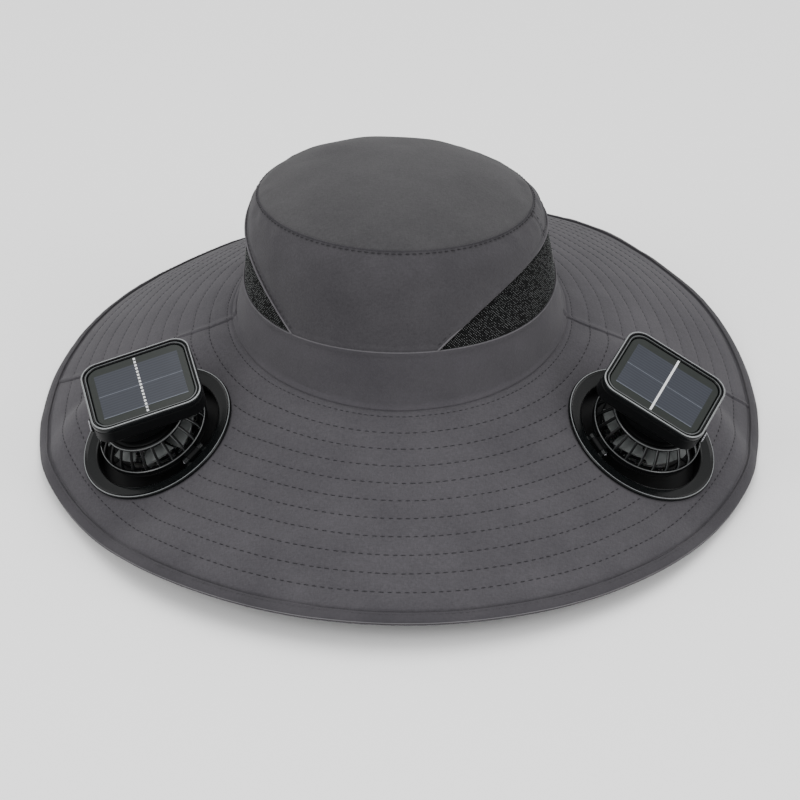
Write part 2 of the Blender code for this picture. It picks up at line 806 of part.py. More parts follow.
def make_rotor(unit, head):
    top = CAGE_TOP - CAGE_PLATE - 2.0 * GAP - MOTOR_HEIGHT
    base = top - HUB_HEIGHT
    bore = SHAFT_RADIUS + GAP
    profile = ((bore, base), (HUB_RADIUS, base), (HUB_RADIUS, top), (bore, top))
    name = unit.name + "_rotor"
    rotor = turned(name, profile, HUB_SEGMENTS, "rotor_plastic", head, ring=True)
    shape = bmesh.new()
    low = 0.5 * (base + top - BLADE_RISE)
    for index in range(ROTOR_BLADES):
        angle = 2.0 * math.pi * index / ROTOR_BLADES
        skin_loops(shape, blade_loops(angle, low, low + BLADE_RISE), ring=False)
    mesh = close_mesh(shape, name + "_blades_tool", "rotor_plastic")
    blades = add_object(name + "_blades_tool", mesh, head)
    boolean(rotor, blades, "UNION")


def panel_lean(unit):
    """Tips a panel towards the crown about the foot of its housing's neck."""
    foot = Matrix.Translation((0.0, 0.0, CAGE_TOP + GAP))
    return foot @ Matrix.Rotation(-math.radians(unit.panel_lean_deg), 4, "Y") @ foot.inverted()


def make_housing(unit, neck):
    low = CAGE_TOP + GAP
    high = low + HOUSING_HEIGHT
    leaning = [
        rounded_loop(NECK_LENGTH, NECK_WIDTH, NECK_CORNER, low + NECK_SHARE * HOUSING_HEIGHT, 0.0),
        rounded_loop(0.94 * PANEL_LENGTH, 0.94 * PANEL_WIDTH, PANEL_CORNER,
                     low + SKIRT_SHARE * HOUSING_HEIGHT - 0.0012),
        rounded_loop(PANEL_LENGTH, PANEL_WIDTH, PANEL_CORNER, low + SKIRT_SHARE * HOUSING_HEIGHT),
        rounded_loop(PANEL_LENGTH, PANEL_WIDTH, PANEL_CORNER, high),
    ]
    lean = panel_lean(unit)
    loops = [rounded_loop(NECK_LENGTH, NECK_WIDTH, NECK_CORNER, low, 0.0)]
    loops += [[lean @ point for point in loop] for loop in leaning]
    lofted(unit.name + "_housing", loops, "black_gloss", neck)
    return high + GAP


def make_bezel(unit, panel, base):
    top = base + BEZEL_HEIGHT
    rows = (
        (0.0, base),
        (0.0, top - BEZEL_BEAD),
        (BEZEL_BEAD, top),
        (0.6 * BEZEL_WIDTH, top),
        (BEZEL_WIDTH, top - BEZEL_BEAD),
        (BEZEL_WIDTH, base),
    )
    loops = [
        rounded_loop(PANEL_LENGTH - 2.0 * inset, PANEL_WIDTH - 2.0 * inset,
                     PANEL_CORNER - 0.7 * inset, height)
        for inset, height in rows
    ]
    lofted(unit.name + "_bezel", loops, "black_gloss", panel, ring=True)


def make_panel(unit, panel, base):
    inset = BEZEL_WIDTH + GAP
    length = PANEL_LENGTH - 2.0 * inset
    width = PANEL_WIDTH - 2.0 * inset
    corner = PANEL_CORNER - 0.7 * inset
    loops = [rounded_loop(length, width, corner, base + rise) for rise in (0.0, PANEL_THICKNESS)]
    lofted(unit.name + "_solar_panel", loops, "solar_glass", panel)


def make_switch(unit, panel, base):
    """Sliding switch on the housing's outer short side."""
    start = 0.5 * PANEL_LENGTH + GAP - PANEL_SHIFT
    middle = unit.switch_side * SWITCH_OFFSET
    top = base - GAP - 0.15 * HOUSING_HEIGHT
    low = (start, middle - 0.5 * SWITCH_LENGTH, top - SWITCH_HEIGHT)
    high = (start + SWITCH_DEPTH, middle + 0.5 * SWITCH_LENGTH, top)
    lofted(unit.name + "_switch", box_loops(low, high), "black_matt", panel)


def make_fan(unit, hat, brim):
    seat = add_empty(unit.name + "_seat", hat, FAN_SEATS[unit.name])
    make_flange(unit, seat)
    make_clamp(unit, seat)
    make_hinge_pin(unit, seat)
    cut_hole(brim, unit, seat)
    pin = hinge_frame(unit)
    opened = pin @ Matrix.Rotation(math.radians(unit.open_deg), 4, "Y") @ pin.inverted()
    head = add_empty(unit.name + "_head", seat, opened)
    make_cage(unit, head)
    make_grille(unit, head)
    make_motor(unit, head)
    make_rotor(unit, head)
    turn = Matrix.Rotation(math.radians(unit.panel_turn_deg), 4, "Z")
    neck = add_empty(unit.name + "_neck", head, turn)
    base = make_housing(unit, neck)
    panel = add_empty(unit.name + "_panel", neck, panel_lean(unit))
    make_bezel(unit, panel, base)
    make_panel(unit, panel, base)
    make_switch(unit, panel, base)


def stand_on_floor(hat, binding):
    """Put the middle of the hat's outline over the origin and its lowest edge on the floor."""
    corners = [vertex.co for vertex in binding.data.vertices]
    low = [min(corner[axis] for corner in corners) for axis in range(3)]
    high = [max(corner[axis] for corner in corners) for axis in range(3)]
    hat.location = (-0.5 * (low[0] + high[0]), -0.5 * (low[1] + high[1]), -low[2])


def main():
    for item in list(bpy.data.objects):
        bpy.data.objects.remove(item, do_unlink=True)
    hat = add_empty("hat_seam_plane", None, Matrix.Identity(4))
    make_crown(hat)
    make_tip(hat)
    make_vents(hat)
    cloth_ring("hat_band", band_point, BAND_SEGMENTS, (0.0, 1.0), BAND_CLOTH, "band_cloth", hat)
    halves = make_brim(hat)
    binding = make_binding(hat)
    for unit in FAN_UNITS:
        make_fan(unit, hat, halves["brim_front"])
    stand_on_floor(hat, binding)
    bpy.context.view_layer.update()


main()
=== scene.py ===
"""Looks of a wide-brimmed cloth sun hat with two hinged solar fans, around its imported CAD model.

Metres, +Z up, the front at -Y. Cloth shapes are functions of an azimuth, anticlockwise from +X,
and a distance or share along the wall, about the seam plane where the band meets the brim.
"""

import math
from collections import namedtuple

import bpy
import numpy as np
from mathutils import Matrix, Vector


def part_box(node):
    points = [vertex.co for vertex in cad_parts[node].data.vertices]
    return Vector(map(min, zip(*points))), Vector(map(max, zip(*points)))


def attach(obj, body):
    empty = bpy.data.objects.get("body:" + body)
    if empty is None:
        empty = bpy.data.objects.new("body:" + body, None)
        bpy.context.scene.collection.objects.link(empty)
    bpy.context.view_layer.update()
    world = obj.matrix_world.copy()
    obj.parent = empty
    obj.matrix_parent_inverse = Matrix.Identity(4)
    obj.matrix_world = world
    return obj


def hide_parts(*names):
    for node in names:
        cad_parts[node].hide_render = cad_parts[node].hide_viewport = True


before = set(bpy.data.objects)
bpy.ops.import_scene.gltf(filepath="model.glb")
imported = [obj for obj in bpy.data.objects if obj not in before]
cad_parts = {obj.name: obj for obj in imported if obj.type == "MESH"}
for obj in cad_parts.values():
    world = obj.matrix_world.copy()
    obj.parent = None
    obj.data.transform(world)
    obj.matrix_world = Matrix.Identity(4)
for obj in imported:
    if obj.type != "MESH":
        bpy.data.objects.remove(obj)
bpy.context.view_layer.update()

MM = 0.001
TURN = 2.0 * math.pi

# Sizes shared with the CAD model
CLOTH = 0.0012
BAND_CLOTH = 0.0015
BRIM_CLOTH = 0.0015
GAP = 0.0003
SEAM_GAP = 0.0004
HEAD_HALF_WIDTH = 0.092
HEAD_HALF_LENGTH = 0.112
BAND_HEIGHT = 0.026
BAND_SADDLE = 0.0044
BAND_INSET = 0.0045
CROWN_HEIGHT = 0.0707
CROWN_SIDE_INSET = 0.0157
CROWN_FRONT_INSET = 0.0250
TIP_HALF_WIDTH = HEAD_HALF_WIDTH - CROWN_SIDE_INSET
TIP_HALF_LENGTH = HEAD_HALF_LENGTH - CROWN_FRONT_INSET
TIP_LEAN_BACK = -0.11
TIP_LEAN_SIDE = -0.0265
TIP_DOME = 0.0193
TIP_DOME_POWER = 2.9
TIP_SHIFT = -0.0024
VENT_HEIGHT = 0.033
VENT_HALF_SPAN = math.radians(62.0)
VENT_ARCH_POWER = 2.5
VENT_AZIMUTHS = {"right": math.radians(345.0), "left": math.radians(167.0)}
BRIM_SLANT = 0.1326
BRIM_DROOP = math.radians(27.0)
BRIM_CURL = math.radians(8.8)
BRIM_LEDGE = 0.0018
BRIM_SEAM_FADE = 0.0199
BRIM_DROOP_SHARES = (1.13, 0.94, 0.81, 0.94, 1.05, 1.09, 1.13, 1.04, 0.88, 0.87, 0.95, 1.08)
BINDING_WIDTH = 0.0048
CROWN_PROFILE = ((0.00, 0.35, 0.65, 0.85, 1.00), (0.00, 0.16, 0.36, 0.62, 1.00))
FAN_DISTANCE = 0.069
FAN_SINK = 0.0020
FLANGE_RADIUS = 0.045
OPENING_RADIUS = 0.0366
COLLAR_WALL = 0.0016
COLLAR_DEPTH = 0.0080
LEDGE_RADIUS = 0.0215
CLAMP_RADIUS = 0.0430
CLAMP_THICKNESS = 0.0020
FLAT_MARGIN = 0.010
FLAT_FADE = 0.032
HINGE_RADIUS = 0.0339
HINGE_HEIGHT = 0.0018
KNUCKLE_RADIUS = 0.0020
KNUCKLE_HALF_LENGTH = 0.0040
EAR_WIDTH = 0.0027
PIN_RADIUS = 0.0010
CAGE_RADIUS = 0.031
CAGE_WALL = 0.0018
CAGE_FOOT = 0.0005
CAGE_RING_TOP = 0.0040
CAGE_SHOULDER = 0.0142
CAGE_TOP = 0.0152
CAGE_PLATE = 0.0016
CAGE_TOP_RADIUS = 0.0240
CAGE_BARS = 24
ROTOR_RADIUS = 0.0258
ROTOR_BLADES = 7
HUB_RADIUS = 0.0070
HUB_HEIGHT = 0.0060
MOTOR_RADIUS = 0.0075
MOTOR_HEIGHT = 0.0052
SHAFT_RADIUS = 0.0015
GRILLE_THICKNESS = 0.0011
GRILLE_SPOKES = 8
PANEL_LENGTH = 0.0615
PANEL_WIDTH = 0.0495
PANEL_CORNER = 0.0095
PANEL_SHIFT = 0.0045
HOUSING_HEIGHT = 0.0200
HOUSING_TOP = CAGE_TOP + GAP + HOUSING_HEIGHT
PANEL_BASE = HOUSING_TOP + GAP
NECK_LENGTH = 0.038
NECK_WIDTH = 0.036
NECK_CORNER = 0.0155
NECK_SHARE = 0.28
SKIRT_SHARE = 0.62
BEZEL_WIDTH = 0.0034
PANEL_THICKNESS = 0.0017
SWITCH_LENGTH = 0.0080
SWITCH_DEPTH = 0.0016
SWITCH_HEIGHT = 0.0030
SWITCH_OFFSET = 0.22 * PANEL_WIDTH
CELL_LENGTH = 0.0468
CELL_WIDTH = 0.0317
BUSBAR_HALF = 0.00060
BUSBAR_DOTS = 17

Fan = namedtuple("Fan", (
    "side", "azimuth_deg", "slope_turn_deg", "hinge_turn_deg", "open_deg", "panel_turn_deg", "panel_lean_deg",
    "switch_side", "dotted"))
FANS = (
    Fan("left", 210.5, 11.0, 100.0, 6.0, -20.0, 9.0, 1, True),
    Fan("right", 329.5, -8.0, -112.0, 9.0, 9.0, -1.0, -1, False),
)

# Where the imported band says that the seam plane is
BAND_LOW, BAND_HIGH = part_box("hat_band")
SEAM = np.array((
    0.5 * (BAND_LOW.x + BAND_HIGH.x), 0.5 * (BAND_LOW.y + BAND_HIGH.y), BAND_LOW.z - GAP))

# Sewing on the brim: distances down the slant from the seam plane
RING_FIRST = 0.0178
RING_PITCH = 0.0109
RING_COUNT = 10
RINGS = [RING_FIRST + RING_PITCH * index for index in range(RING_COUNT)]
HEM_REACH = 0.0028
HEM_STITCHES = 0.0066
SIDE_SEAM_HALF_WIDTH = 0.0019
STITCH_PITCH = 0.0043
STITCH_LENGTH = 0.0028
STITCH_WIDTH = 0.00042
NET_PITCH = 0.0016
NET_THREAD = 0.00015
NET_KNOT = 0.00031
NET_RISE = 0.5 * NET_PITCH * 0.95
NET_REACH = 0.992
NET_LENGTH = 2.0 * VENT_HALF_SPAN * NET_REACH * 0.094

# Place along a stitch, its girth there and its lift, as shares of half its length and of its width
STITCH_STATIONS = (
    (-1.0, 0.15, -0.25), (-0.62, 0.85, 0.30), (0.0, 1.0, 0.42), (0.62, 0.85, 0.30), (1.0, 0.15, -0.25))
SHARP_ANGLE = math.radians(38.0)

CAMERA_DIP = math.radians(31.0)
CAMERA_LENS = 116.2
CAMERA_DISTANCE = 1.4996
CAMERA_AIM_DROP = 0.0632
FLOOR_HALF = 12.0
LIGHT_AIM = (0.0, 0.0, 0.05)

# Name, place, size and power of each lamp
LIGHTS = (
    ("overhead", (0.0, 0.0, 1.9), 1.8, 27.0),
    ("front_left", (-1.5, -1.5, 1.3), 1.2, 26.0),
    ("front_right", (1.6, -1.2, 1.1), 1.2, 20.0),
)


# Numeric helpers

def smoothstep(value):
    value = np.clip(value, 0.0, 1.0)
    return value * value * (3.0 - 2.0 * value)


def bump(distance, width):
    """Bell of height one over a distance."""
    return np.exp(-(np.asarray(distance) / width) ** 2)


def lattice_value(cell, seed):
    mixed = cell[..., 0] * 374761393 + cell[..., 1] * 668265263 + cell[..., 2] * 2147483647 + seed * 69069
    mixed = (mixed ^ (mixed >> 13)) * 1274126177 & 0xFFFFFFFF
    return ((mixed ^ (mixed >> 16)) & 0xFFFF) / 32767.5 - 1.0


def soft_noise(points, scale, seed):
    """Smooth noise from -1 to 1 with features of about scale metres."""
    position = np.asarray(points) / scale
    cell = np.floor(position).astype(np.int64)
    part = smoothstep(position - cell)
    total = np.zeros(position.shape[:-1])
    for corner in np.ndindex(2, 2, 2):
        weight = np.ones(total.shape)
        for axis, side in enumerate(corner):
            weight = weight * (part[..., axis] if side else 1.0 - part[..., axis])
        total += weight * lattice_value(cell + np.array(corner), seed)
    return total


def unit(vectors):
    return vectors / np.maximum(np.linalg.norm(vectors, axis=-1, keepdims=True), 1e-12)


def stack(x, y, z):
    return np.stack(np.broadcast_arrays(x, y, z), axis=-1).astype(float)


def normals_of(surface, u, v, step=1e-5):
    along_u = surface(u + step, v) - surface(u - step, v)
    along_v = surface(u, v + step) - surface(u, v - step)
    return unit(np.cross(along_v, along_u))


# Shape of the cloth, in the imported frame

def on_surface(surface, azimuth, along):
    """Points of a surface and their outward normals. Only the wall's shares run upwards."""
    normal = normals_of(surface, azimuth, along)
    return surface(azimuth, along), -normal if surface is wall else normal


def oval(azimuth, side_inset, front_inset, height):
    x = (HEAD_HALF_WIDTH - side_inset) * np.cos(azimuth)
    y = (HEAD_HALF_LENGTH - front_inset) * np.sin(azimuth)
    return stack(x, y, height) + SEAM


def band_top(azimuth):
    return BAND_HEIGHT - BAND_SADDLE * np.cos(2.0 * azimuth)


def tip_plane(x, y):
    """Height of the leaning plane through the tip's seam."""
    return CROWN_HEIGHT + TIP_LEAN_SIDE * x + TIP_LEAN_BACK * y


def wall_height(azimuth):
    """Height of the crown's wall, from the band up to the tip's seam."""
    x = TIP_HALF_WIDTH * np.cos(azimuth)
    y = TIP_HALF_LENGTH * np.sin(azimuth)
    return tip_plane(x, y) - band_top(azimuth)


def profile_inset(share):
    """Smooth curve through the crown's profile."""
    heights, insets = (np.array(row) for row in CROWN_PROFILE)
    slopes = np.gradient(insets, heights)
    index = np.clip(np.searchsorted(heights, share, side="right") - 1, 0, len(heights) - 2)
    span = heights[index + 1] - heights[index]
    part = np.clip((share - heights[index]) / span, 0.0, 1.0)
    start = (1.0 + 2.0 * part) * (1.0 - part) ** 2
    end = part * part * (3.0 - 2.0 * part)
    bend = part * (1.0 - part) ** 2 * slopes[index] - part * part * (1.0 - part) * slopes[index + 1]
    return start * insets[index] + end * insets[index + 1] + span * bend


def wall(azimuth, share):
    inset = profile_inset(share)
    side = BAND_INSET + inset * (CROWN_SIDE_INSET - BAND_INSET)
    front = BAND_INSET + inset * (CROWN_FRONT_INSET - BAND_INSET)
    points = oval(azimuth, side, front, band_top(azimuth) + share * wall_height(azimuth))
    return points + stack(TIP_SHIFT * share, 0.0, 0.0)


def vent_rise(azimuth):
    rise = np.zeros(np.shape(azimuth))
    for middle in VENT_AZIMUTHS.values():
        away = np.abs((azimuth - middle + math.pi) % TURN - math.pi)
        share = np.minimum(away / VENT_HALF_SPAN, 1.0)
        rise = np.maximum(rise, VENT_HEIGHT * (1.0 - share ** VENT_ARCH_POWER))
    return rise


def tip(azimuth, share):
    x = share * TIP_HALF_WIDTH * np.cos(azimuth)
    y = share * TIP_HALF_LENGTH * np.sin(azimuth)
    dome = TIP_DOME * (1.0 - np.abs(share) ** TIP_DOME_POWER)
    return stack(x + TIP_SHIFT, y, tip_plane(x, y) + dome) + SEAM


def band(azimuth, share):
    top = band_top(azimuth)
    foot = GAP + BAND_CLOTH * BAND_INSET / BAND_HEIGHT
    inset = BAND_INSET * (1.0 - share)
    return oval(azimuth, inset, inset, foot + (top - foot) * (1.0 - share))


def droop(azimuth):
    """Slope of the brim, a smooth curve through its shares round the hat."""
    shares = np.array(BRIM_DROOP_SHARES)
    count = len(shares)
    position = np.asarray(azimuth) % TURN / TURN * count
    index = np.floor(position).astype(int)
    before, start, end, after = (shares[(index + step) % count] for step in (-1, 0, 1, 2))
    part = position - index
    first = 0.5 * (end - before)
    last = 0.5 * (after - start)
    bend = 3.0 * (end - start) - 2.0 * first - last
    twist = 2.0 * (start - end) + first + last
    return BRIM_DROOP * (start + part * (first + part * (bend + part * twist)))


def free_brim(azimuth, slant):
    azimuth, slant = np.broadcast_arrays(np.asarray(azimuth, float), np.asarray(slant, float))
    first = droop(azimuth) - 0.5 * BRIM_CURL
    last = first + BRIM_CURL * slant / BRIM_SLANT
    radius = BRIM_SLANT / BRIM_CURL
    outside = slant > 0.0
    reach = np.where(outside, radius * (np.sin(last) - np.sin(first)), slant)
    drop = np.where(outside, radius * (np.cos(first) - np.cos(last)), 0.0)
    return oval(azimuth, -reach, -reach, -drop)


def fan_seat(fan):
    """Frame of a fan on the brim: X down the slope, Z out of the brim."""
    azimuth = math.radians(fan.azimuth_deg)
    centre = Vector(free_brim(azimuth, FAN_DISTANCE))
    normal = Vector(normals_of(free_brim, azimuth, FAN_DISTANCE))
    normal.rotate(Matrix.Rotation(math.radians(fan.slope_turn_deg), 3, "Z"))
    outward = Vector(free_brim(azimuth, FAN_DISTANCE + 0.001)) - centre
    outward = (outward - normal * outward.dot(normal)).normalized()
    seat = Matrix((outward, normal.cross(outward), normal)).transposed().to_4x4()
    seat.translation = centre - FAN_SINK * normal
    return seat


SEATS = {fan.side: fan_seat(fan) for fan in FANS}


def seat_offsets(points, seat):
    """Offsets of points from a fan's seat, along its axis and across it."""
    axis = np.array(seat.col[2].to_3d())
    offset = points - np.array(seat.translation)
    along = (offset @ axis)[..., None] * axis
    return along, offset - along


def brim(azimuth, slant):
    """Brim, pressed flat where a fan's rigid flange clamps it."""
    points = free_brim(azimuth, slant)
    seam_fade = smoothstep(np.asarray(slant) / BRIM_SEAM_FADE)
    for seat in SEATS.values():
        along, across = seat_offsets(points, seat)
        away = np.linalg.norm(across, axis=-1)
        weight = seam_fade * (1.0 - smoothstep((away - FLANGE_RADIUS - FLAT_MARGIN) / FLAT_FADE))
        points = points - weight[..., None] * along
    return points


def fan_distances(points):
    """Distance from the nearer fan's axis."""
    return np.minimum(*(np.linalg.norm(seat_offsets(points, seat)[1], axis=-1) for seat in SEATS.values()))


# Materials

class Shading:
    """A material's nodes, about its Principled shader."""

    def __init__(self, name):
        self.material = bpy.data.materials.new(name)
        self.material.use_nodes = True
        self.tree = self.material.node_tree
        self.shader = self.tree.nodes["Principled BSDF"]

    def feed(self, node, values):
        for socket, value in values.items():
            if isinstance(value, bpy.types.NodeSocket):
                self.tree.links.new(value, node.inputs[socket])
            else:
                node.inputs[socket].default_value = value

    def add(self, kind, values, output=0, **settings):
        node = self.tree.nodes.new("ShaderNode" + kind)
        for name, setting in settings.items():
            setattr(node, name, setting)
        self.feed(node, values)
        return node.outputs[output]

    def noise(self, place, scale, detail, rough):
        values = {"Vector": place, "Scale": scale, "Detail": detail, "Roughness": rough}
        return self.add("TexNoise", values, "Fac")

    def blend(self, *pairs):
        """Sum of two values, each times its share."""
        first, second = (
            self.add("Math", {0: value, 1: share}, operation="MULTIPLY") for value, share in pairs)
        return self.add("Math", {0: first, 1: second}, operation="ADD")

    def mix(self, factor, dark, light):
        return self.add("Mix", {0: factor, 6: (*dark, 1.0), 7: (*light, 1.0)}, 2, data_type="RGBA")

    def shades(self, factor, colour, spread):
        dark, light = ([channel * (1.0 + side * spread) for channel in colour] for side in (-1.0, 1.0))
        return self.mix(factor, dark, light)

    def finish(self, height, distance, strength, values):
        """Sets the shader's bump and its other inputs."""
        bump_values = {"Distance": distance, "Strength": strength, "Height": height}
        self.feed(self.shader, {"Normal": self.add("Bump", bump_values, "Normal"), **values})
        return self.material


def cloth(name, colour, contrast, sheen=0.05):
    """Brushed twill: fine crossing threads, a soft mottle and a little lint."""
    shading = Shading(name)
    place = shading.add("TexCoord", {}, "Object")
    threads = []
    for stretch in ((1700.0, 330.0, 900.0), (330.0, 1700.0, 900.0)):
        mapping = {"Vector": place, "Rotation": (0.35, 0.2, 0.6), "Scale": stretch}
        drawn = shading.add("Mapping", mapping, "Vector")
        threads.append((shading.noise(drawn, 1.0, 2.0, 0.6), 0.5))
    lint = shading.noise(place, 620.0, 4.0, 0.7)
    grain = shading.blend((shading.blend(*threads), 0.6), (lint, 0.4))
    mottle = shading.mix(shading.noise(place, 24.0, 5.0, 0.62), (0.66, 0.66, 0.68), (1.34, 1.34, 1.32))
    layers = {0: 1.0, 6: shading.shades(grain, colour, 2.2 * contrast), 7: mottle}
    return shading.finish(grain, 0.00030, 0.9, {
        "Base Color": shading.add("Mix", layers, 2, data_type="RGBA", blend_type="MULTIPLY"),
        "Roughness": 0.92, "Specular IOR Level": 0.12, "Sheen Weight": sheen, "Sheen Roughness": 0.6,
    })


def plastic(name, colour, roughness, coat=0.0, wear=0.25, grain=0.0, gloss=0.4):
    """Moulded plastic: faint flow marks in the gloss, and paler where it is handled."""
    shading = Shading(name)
    place = shading.add("TexCoord", {}, "Object")
    flow = shading.noise(place, 140.0, 4.0, 0.6)
    rough_range = {"Value": flow, "To Min": max(roughness - 0.05, 0.02), "To Max": roughness + 0.07}
    return shading.finish(shading.noise(place, 1500.0, 2.0, 0.5), 0.00003 + grain, 0.5, {
        "Base Color": shading.shades(flow, colour, wear),
        "Roughness": shading.add("MapRange", rough_range, "Result"),
        "Specular IOR Level": gloss, "Coat Weight": coat, "Coat Roughness": 0.08,
    })


def solar(name, dark, light, stripe):
    """Solar cell under clear resin, with fine collector lines along its length."""
    shading = Shading(name)
    place = shading.add("TexCoord", {}, "Object")
    wave_values = {"Vector": place, "Scale": 0.314 / stripe / 2.0, "Distortion": 0.0}
    wave = shading.add("TexWave", wave_values, "Fac", bands_direction="Y")
    factor = shading.blend((wave, 0.55), (shading.noise(place, 60.0, 4.0, 0.6), 0.45))
    return shading.finish(wave, 0.00002, 0.3, {
        "Base Color": shading.mix(factor, dark, light),
        "Roughness": 0.34, "Specular IOR Level": 0.22, "Coat Weight": 0.06, "Coat Roughness": 0.10,
    })


def make_materials():
    return {
        "brim": cloth("brim_twill", (0.0435, 0.0412, 0.0460), 0.30),
        "crown": cloth("crown_twill", (0.0325, 0.0308, 0.0342), 0.28),
        "tip": cloth("tip_twill", (0.0362, 0.0352, 0.0372), 0.28),
        "band": cloth("band_cloth", (0.0400, 0.0377, 0.0424), 0.18),
        "binding": cloth("binding_cloth", (0.0350, 0.0330, 0.0370), 0.18),
        "stitch": cloth("stitch_thread", (0.0200, 0.0191, 0.0214), 0.10, 0.0),
        "faint_stitch": cloth("faint_stitch_thread", (0.0300, 0.0286, 0.0320), 0.10, 0.0),
        # Real piping, made paler than the cloth as a painted highlight.
        "piping": cloth("pale_piping_painted_highlight", (0.080, 0.077, 0.083), 0.10, 0.0),
        # A pale cord along the brim's lower rim, a painted highlight.
        "rim_highlight": cloth("rim_painted_highlight", (0.100, 0.097, 0.102), 0.10, 0.0),
        "net": cloth("net_thread", (0.014, 0.0145, 0.0145), 0.20, 0.0),
        # Pale knots, real knots whose pale colour is painted glint.
        "knot_glint": cloth("net_knot_painted_glint", (0.130, 0.134, 0.134), 0.20, 0.0),
        # Dark sheet behind the netting, painted shade of the crown's inside.
        "shade_sheet": cloth("net_painted_shade_sheet", (0.0045, 0.0048, 0.0050), 0.20, 0.0),
        "gloss": plastic("glossy_black", (0.0034, 0.0040, 0.0042), 0.20, gloss=0.17),
        # Pale colour for bead crests, a painted highlight.
        "trim": plastic("bead_crest_painted_highlight", (0.150, 0.157, 0.160), 0.24, 0.2, 0.20, gloss=0.5),
        # Dimmer pale colour for bead and ring crests and rib edges, a painted highlight.
        "dim_highlight": plastic("dim_painted_highlight", (0.052, 0.055, 0.056), 0.26, 0.1, 0.20),
        "satin": plastic("satin_black", (0.0030, 0.0032, 0.0034), 0.36, grain=0.00002, gloss=0.08),
        "rotor": plastic("rotor_grey", (0.092, 0.098, 0.097), 0.45, wear=0.30, grain=0.00004),
        "margin": plastic("panel_board", (0.0120, 0.0145, 0.0130), 0.30, 0.05, 0.12, gloss=0.20),
        "cell": solar("solar_cell", (0.0150, 0.0172, 0.0235), (0.0290, 0.0325, 0.0420), 0.0009),
        "busbar": plastic("busbar_silver", (0.55, 0.56, 0.57), 0.30, 0.2, 0.08),
        "finger": plastic("collector_line", (0.080, 0.090, 0.110), 0.30, 0.1, 0.08),
        # Steel for the hinge pin; on the switch's ridges its pale colour is painted glint.
        "steel_and_glint": plastic("steel_and_painted_glint", (0.30, 0.30, 0.32), 0.28, wear=0.10),
    }


# Mesh helpers

class Parts:
    """Bodies gathered into one mesh."""

    def __init__(self, *bodies):
        self.vertices = []
        self.faces = []
        self.slots = []
        for body in bodies:
            self.add(*body)

    def add(self, vertices, faces, slot=0, matrix=Matrix()):
        start = len(self.vertices)
        self.vertices.extend(matrix @ Vector(vertex) for vertex in vertices)
        self.faces.extend(tuple(start + index for index in face) for face in faces)
        self.slots.extend([slot] * len(faces) if isinstance(slot, int) else slot)

    def piece(self, name, materials, slot, replaced=(), body="hat", matrix=Matrix()):
        mesh = bpy.data.meshes.new(name)
        mesh.from_pydata(self.vertices, [], self.faces)
        for material in materials:
            mesh.materials.append(MATERIALS[material])
        mesh.polygons.foreach_set("material_index", np.array(self.slots, np.int32))
        mesh.validate()
        mesh.shade_smooth()
        mesh.set_sharp_from_angle(angle=SHARP_ANGLE)
        piece = bpy.data.objects.new(name, mesh)
        bpy.context.scene.collection.objects.link(piece)
        piece.matrix_world = matrix
        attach(piece, body)
        if replaced:
            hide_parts(*replaced)


def skin(loops, ring=False):
    """Vertices and faces over closed loops of equal length, capped unless the loops form a ring."""
    count, size = len(loops), len(loops[0])
    faces = []
    for row in range(count if ring else count - 1):
        start, end = row * size, (row + 1) % count * size
        for index in range(size):
            after = (index + 1) % size
            faces.append((start + index, start + after, end + after, end + index))
    if not ring:
        faces.append(tuple(range(size))[::-1])
        faces.append(tuple(range((count - 1) * size, count * size)))
    return [vertex for loop in loops for vertex in loop], faces


def lathe(profile, segments, ring=True):
    angles = [TURN * index / segments for index in range(segments)]
    return skin([
        [(radius * math.cos(angle), radius * math.sin(angle), height) for angle in angles]
        for radius, height in profile
    ], ring)


def row_slots(rows, segments, first, second=()):
    """Material slots of a ring's faces, by the row of the profile that they start from."""
    return [1 if row in first else 2 if row in second else 0 for row in range(rows) for _ in range(segments)]


def rounded(length, width, corner, height, shift=-PANEL_SHIFT, steps=10):
    points = []
    for quarter, (side_x, side_y) in enumerate(((1, 1), (-1, 1), (-1, -1), (1, -1))):
        centre_x = shift + side_x * (0.5 * length - corner)
        centre_y = side_y * (0.5 * width - corner)
        for step in range(steps + 1):
            angle = 0.5 * math.pi * (quarter + step / steps)
            points.append((centre_x + corner * math.cos(angle), centre_y + corner * math.sin(angle), height))
    return points


def soft_box(low, high, edge):
    """Box with bevelled edges, as loops along Z."""
    length, width = high[0] - low[0], high[1] - low[1]
    middle = (0.5 * (low[0] + high[0]), 0.5 * (low[1] + high[1]))
    loops = []
    for inset, height in ((edge, low[2]), (0.0, low[2] + edge), (0.0, high[2] - edge), (edge, high[2])):
        loop = rounded(length - 2.0 * inset, width - 2.0 * inset, edge, height, 0.0, 3)
        loops.append([(x + middle[0], y + middle[1], z) for x, y, z in loop])
    return skin(loops)


def facing_out(points, faces):
    """The faces, turned over if the body they close is inside out."""
    a, b, c, d = (points[faces[:, side]] for side in range(4))
    volume = np.einsum("ij,ij->i", a, np.cross(b, c)).sum() + np.einsum("ij,ij->i", a, np.cross(c, d)).sum()
    return faces if volume > 0.0 else faces[:, ::-1]


def grid_quads(rows, columns, cyclic):
    index = np.arange(rows * columns).reshape(rows, columns)
    if cyclic:
        index = np.concatenate([index, index[:, :1]], axis=1)
    corners = (index[:-1, :-1], index[:-1, 1:], index[1:, 1:], index[1:, :-1])
    return np.stack([corner.reshape(-1) for corner in corners], axis=-1)


